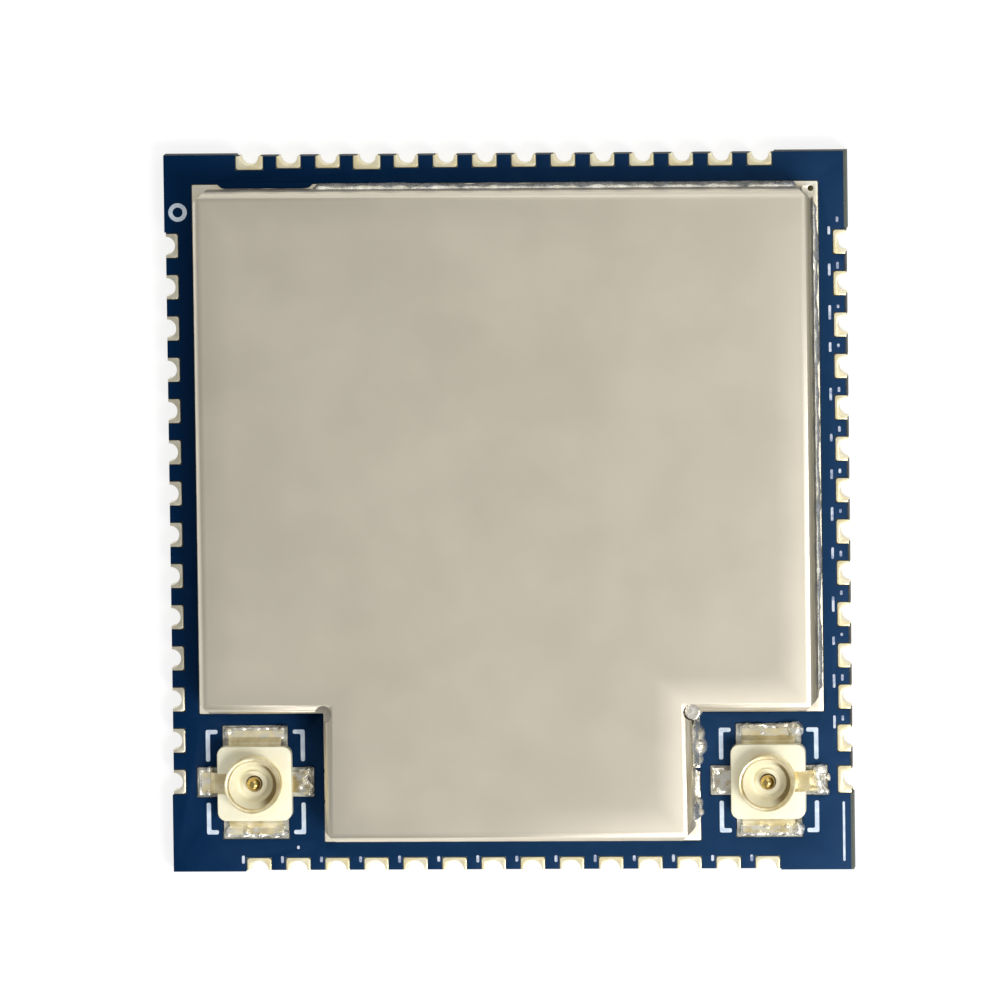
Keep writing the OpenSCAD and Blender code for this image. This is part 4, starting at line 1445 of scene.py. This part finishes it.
@dataclass
class Legend:
    """Printed marks, the brackets round the sockets and the pin-one ring, and painted highlights: the ticks
    beside the pads and a line by the right edge.
    """

    line: float = 0.15
    thickness: float = 0.01
    bracket_w: float = 3.5
    bracket_l: float = 3.7
    arm: float = 1.12
    foot: float = 0.42
    ring: float = 0.325
    ring_inset: Point = (0.48, 2.01)
    tick: Point = (0.1, 0.28)
    tick_shift: float = -0.56
    tick_inset: float = 0.42
    dash_inset: float = 0.62
    dot_inset: float = 0.33
    edge_line: tuple[float, float] = (-12.35, -10.25)

    def __post_init__(self) -> None:
        """Reads where the ink lies."""
        low, _ = box_mm("legend_ink")
        self.low, self.high = box_mm("circuit_board")
        self.level = low.z + Board.film

    def build(self, sockets: Sequence[Socket], rows: Sequence[PadRow]) -> None:
        """Makes the printed marks and the painted highlights.

        Args:
            sockets: The sockets that get brackets.
            rows: The rows of pads, of which the front and right ones get ticks.
        """
        ink = Workpiece()
        for socket in sockets:
            place = socket.place.translation
            for x in (-1, 1):
                for y in (-1, 1):
                    ink.stamped(self._bracket(), Matrix.Translation((place.x, place.y, self.level))
                                @ Matrix.Diagonal((x, y, 1, 1)))
        ink.stamped(self._ring(), Matrix.Translation(
            (self.low.x + self.ring_inset[0], self.high.y - self.ring_inset[1], self.level)))
        # Painted highlight in legend ink: a line by the right edge that stands for a glint on the mask over the
        # copper's edge.
        low, high = self.edge_line
        self._mark(ink, (0.08, high - low), (self.high.x - self.dot_inset, (low + high) / 2))
        ink.deliver("legend_ink", INK, "legend_ink", ["legend_ink"])
        self._painted_glints(rows).deliver("painted_glints", GLINT_PAINT, "legend_ink")

    def _painted_glints(self, rows: Sequence["PadRow"]) -> Workpiece:
        """Painted highlights: ticks and dashes beside the front and right pads, of different lengths, standing
        for glints on the mask over copper edges.
        """
        marks = Workpiece()
        dice = random.Random(7)
        for row in rows:
            for place, _ in row.places():
                pad = place.translation
                if row.side is Side.FRONT:
                    size = (self.tick[0], self.tick[1] * dice.uniform(0.7, 1.1))
                    where = (pad.x + self.tick_shift, self.low.y + self.tick_inset)
                    self._mark(marks, size, where)
                elif row.side is Side.RIGHT:
                    if pad.y > self.edge_line[1] + 1.5:
                        size = (0.09, dice.uniform(0.25, 0.55))
                        self._mark(marks, size, (self.high.x - self.dash_inset, pad.y + dice.uniform(0.3, 0.75)))
                        size = (0.09, dice.uniform(0.1, 0.24))
                        self._mark(marks, size, (self.high.x - self.dot_inset, pad.y + dice.uniform(0.62, 0.8)))
        self._mark(marks, (0.09, 0.12), (-7.58, -11.8))
        return marks

    def _mark(self, marks: Workpiece, size: Point, place: Point) -> None:
        """Adds one short stroke along y."""
        stroke = Workpiece().block((*size, self.thickness), (*place, self.level), size[0] * 0.45)
        marks.stamped(stroke, Matrix.Identity(4))

    def _bracket(self) -> Workpiece:
        """The mark at a socket's positive x, positive y corner."""
        x, y = self.bracket_w / 2, self.bracket_l / 2
        outline = [(x, y), (x - self.foot, y), (x - self.foot, y - self.line), (x - self.line, y - self.line),
                   (x - self.line, y - self.arm), (x, y - self.arm)]
        return Workpiece().prism(outline, 0, self.thickness, 0.06)

    def _ring(self) -> Workpiece:
        """The pin-one ring."""
        inner = self.ring - self.line
        return Workpiece().spun([(inner, 0), (self.ring, 0), (self.ring, self.thickness),
                                 (inner, self.thickness)])


# ---- Parts under the can ----


def dress_inner_parts() -> None:
    """Dresses the parts that the can hides."""
    resin = Moulding("chip_resin", colour(42, 43, 48), colour(34, 34, 38), 0.6, 0.55)
    tin = Metal("tin_plate", colour(214, 213, 206), colour(196, 195, 188), 0.3, 0.45, 0.3)
    dressing = {
        "radio_chip": resin, "memory_chip": resin, "front_end_chips": resin, "regulator_chip": resin,
        "chip_terminals": tin, "end_caps": tin,
        "band_filters": Moulding("filter_ceramic", colour(220, 214, 200), colour(206, 200, 186), 0.5),
        "power_inductor": Moulding("ferrite", colour(78, 77, 77), colour(64, 62, 62), 0.3, 0.7),
        "crystal_base": Moulding("crystal_ceramic", colour(112, 106, 98), colour(98, 93, 86), 0.4, 0.6),
        "crystal_lid": Metal("crystal_lid", colour(216, 214, 206), colour(204, 202, 194), 0.7, 0.35, 0.25),
        "capacitors": Moulding("capacitor_ceramic", colour(180, 141, 94), colour(164, 126, 82), 0.3),
        "resistors": Moulding("resistor_film", colour(50, 50, 54), colour(40, 40, 44), 0.3),
    }
    for node, finish in dressing.items():
        finish.dress(node)


# ---- Studio ----


@dataclass
class Studio:
    """White floor, soft light and the camera, which looks down at a small tilt."""

    aim: tuple[float, float, float] = (-0.3, 0.44, 0.8)
    distance: float = 704.9
    tilt_rear: float = 5.514
    tilt_right: float = 4.759
    roll: float = 0.762
    lens: float = 722.9
    sensor: float = 36.0
    floor_drop: float = 0.01
    floor_reach: float = 4000.0
    world_level: float = 0.4
    floor_glow: float = 0.78
    floor_tone: float = 0.3

    def build(self) -> None:
        """Sets up everything that isn't part of the object."""
        self._camera()
        self._floor()
        self._world()
        self._lamp("key", (82, -66, 130), 72, 0.178)
        self._lamp("front_low", (30, -150, 62), 90, 0.07)
        self._lamp("rear_fill", (50, 115, 140), 120, 0.055)
        self._lamp("rear_low", (-10, 150, 70), 90, 0.018)
        bpy.context.scene.view_settings.view_transform = "Standard"

    def _camera(self) -> None:
        """Makes the camera."""
        data = bpy.data.cameras.new("camera")
        data.lens = self.lens
        data.sensor_width = self.sensor
        data.clip_start, data.clip_end = 0.01, 10.0
        camera = bpy.data.objects.new("camera", data)
        camera.rotation_euler = [math.radians(a) for a in (-self.tilt_rear, self.tilt_right, -self.roll)]
        back = camera.rotation_euler.to_matrix() @ Vector((0, 0, 1))
        camera.location = (Vector(self.aim) + back * self.distance) * MILLIMETRE
        bpy.context.scene.collection.objects.link(camera)
        bpy.context.scene.camera = camera

    def _seen(self, nodes: bpy.types.Nodes, links: bpy.types.NodeLinks) -> bpy.types.NodeSocket:
        """1 for camera, glossy and transmission rays, and 0 for all others."""
        path = nodes.new("ShaderNodeLightPath")
        total = path.outputs["Is Camera Ray"]
        for name in ("Is Glossy Ray", "Is Transmission Ray"):
            node = nodes.new("ShaderNodeMath")
            node.operation = "MAXIMUM"
            links.new(total, node.inputs[0])
            links.new(path.outputs[name], node.inputs[1])
            total = node.outputs["Value"]
        return total

    def _world(self) -> None:
        """A plain soft surround."""
        world = bpy.data.worlds.new("surround")
        world.use_nodes = True
        light = world.node_tree.nodes["Background"]
        light.inputs["Strength"].default_value = self.world_level
        light.inputs["Color"].default_value = (1, 1, 1, 1)
        bpy.context.scene.world = world

    def _floor(self) -> None:
        """A pale floor that keeps the object's shadow."""
        mesh = bmesh.new()
        bmesh.ops.create_grid(mesh, x_segments=1, y_segments=1, size=self.floor_reach * MILLIMETRE)
        bmesh.ops.translate(mesh, vec=(0, 0, -self.floor_drop * MILLIMETRE), verts=mesh.verts)
        data = bpy.data.meshes.new("floor")
        mesh.to_mesh(data)
        mesh.free()
        material = bpy.data.materials.new("floor")
        material.use_nodes = True
        nodes, links = material.node_tree.nodes, material.node_tree.links
        nodes.remove(nodes["Principled BSDF"])
        matt = nodes.new("ShaderNodeBsdfDiffuse")
        matt.inputs["Color"].default_value = (self.floor_tone,) * 3 + (1,)
        glow = nodes.new("ShaderNodeEmission")
        strength = nodes.new("ShaderNodeMath")
        strength.operation = "MULTIPLY"
        strength.inputs[1].default_value = self.floor_glow
        links.new(self._seen(nodes, links), strength.inputs[0])
        links.new(strength.outputs["Value"], glow.inputs["Strength"])
        both = nodes.new("ShaderNodeAddShader")
        links.new(matt.outputs["BSDF"], both.inputs[0])
        links.new(glow.outputs["Emission"], both.inputs[1])
        links.new(both.outputs["Shader"], nodes["Material Output"].inputs["Surface"])
        data.materials.append(material)
        floor = bpy.data.objects.new("floor", data)
        bpy.context.scene.collection.objects.link(floor)

    def _lamp(self, name: str, place: Sequence[float], size: float, power: float) -> None:
        """A square soft light that faces the object.

        Args:
            name: Name of the lamp.
            place: Where it stands, in millimetres.
            size: Its side in millimetres.
            power: Its power in watts.
        """
        data = bpy.data.lights.new(name, "AREA")
        data.size = size * MILLIMETRE
        data.energy = power
        lamp = bpy.data.objects.new(name, data)
        lamp.location = Vector(place) * MILLIMETRE
        lamp.rotation_euler = (-Vector(place)).to_track_quat("-Z", "Y").to_euler()
        bpy.context.scene.collection.objects.link(lamp)


def main() -> None:
    """Builds the module, sub-assembly by sub-assembly, and reports each piece."""
    logging.basicConfig(level=logging.INFO, format="%(name)s %(message)s")
    Studio().build()
    rows = [
        PadRow(Side.REAR, 1.38, (0, 3), PAD_GOLD), PadRow(Side.FRONT, 1.38, (), PAD_GOLD),
        PadRow(Side.LEFT, 1.456, (), SHADED_PAD_GOLD), PadRow(Side.RIGHT, 1.456, (12, 13), PAD_GOLD),
    ]
    shield = Shield(lumps=WALL_LUMPS)
    sockets = [Socket("left_socket", 180.0, LEFT_HEAPS), Socket("right_socket", 0.0, RIGHT_HEAPS)]
    board = Board()
    openings = Workpiece()
    shield.add_openings(openings, board.opening_gap)
    for row in rows:
        row.add_openings(openings)
        row.build()
    for socket in sockets:
        socket.add_openings(openings, board.opening_gap)
        socket.build()
    board.build(openings)
    shield.build()
    Legend().build(sockets, rows)
    dress_inner_parts()


if __name__ == "__main__":
    main()
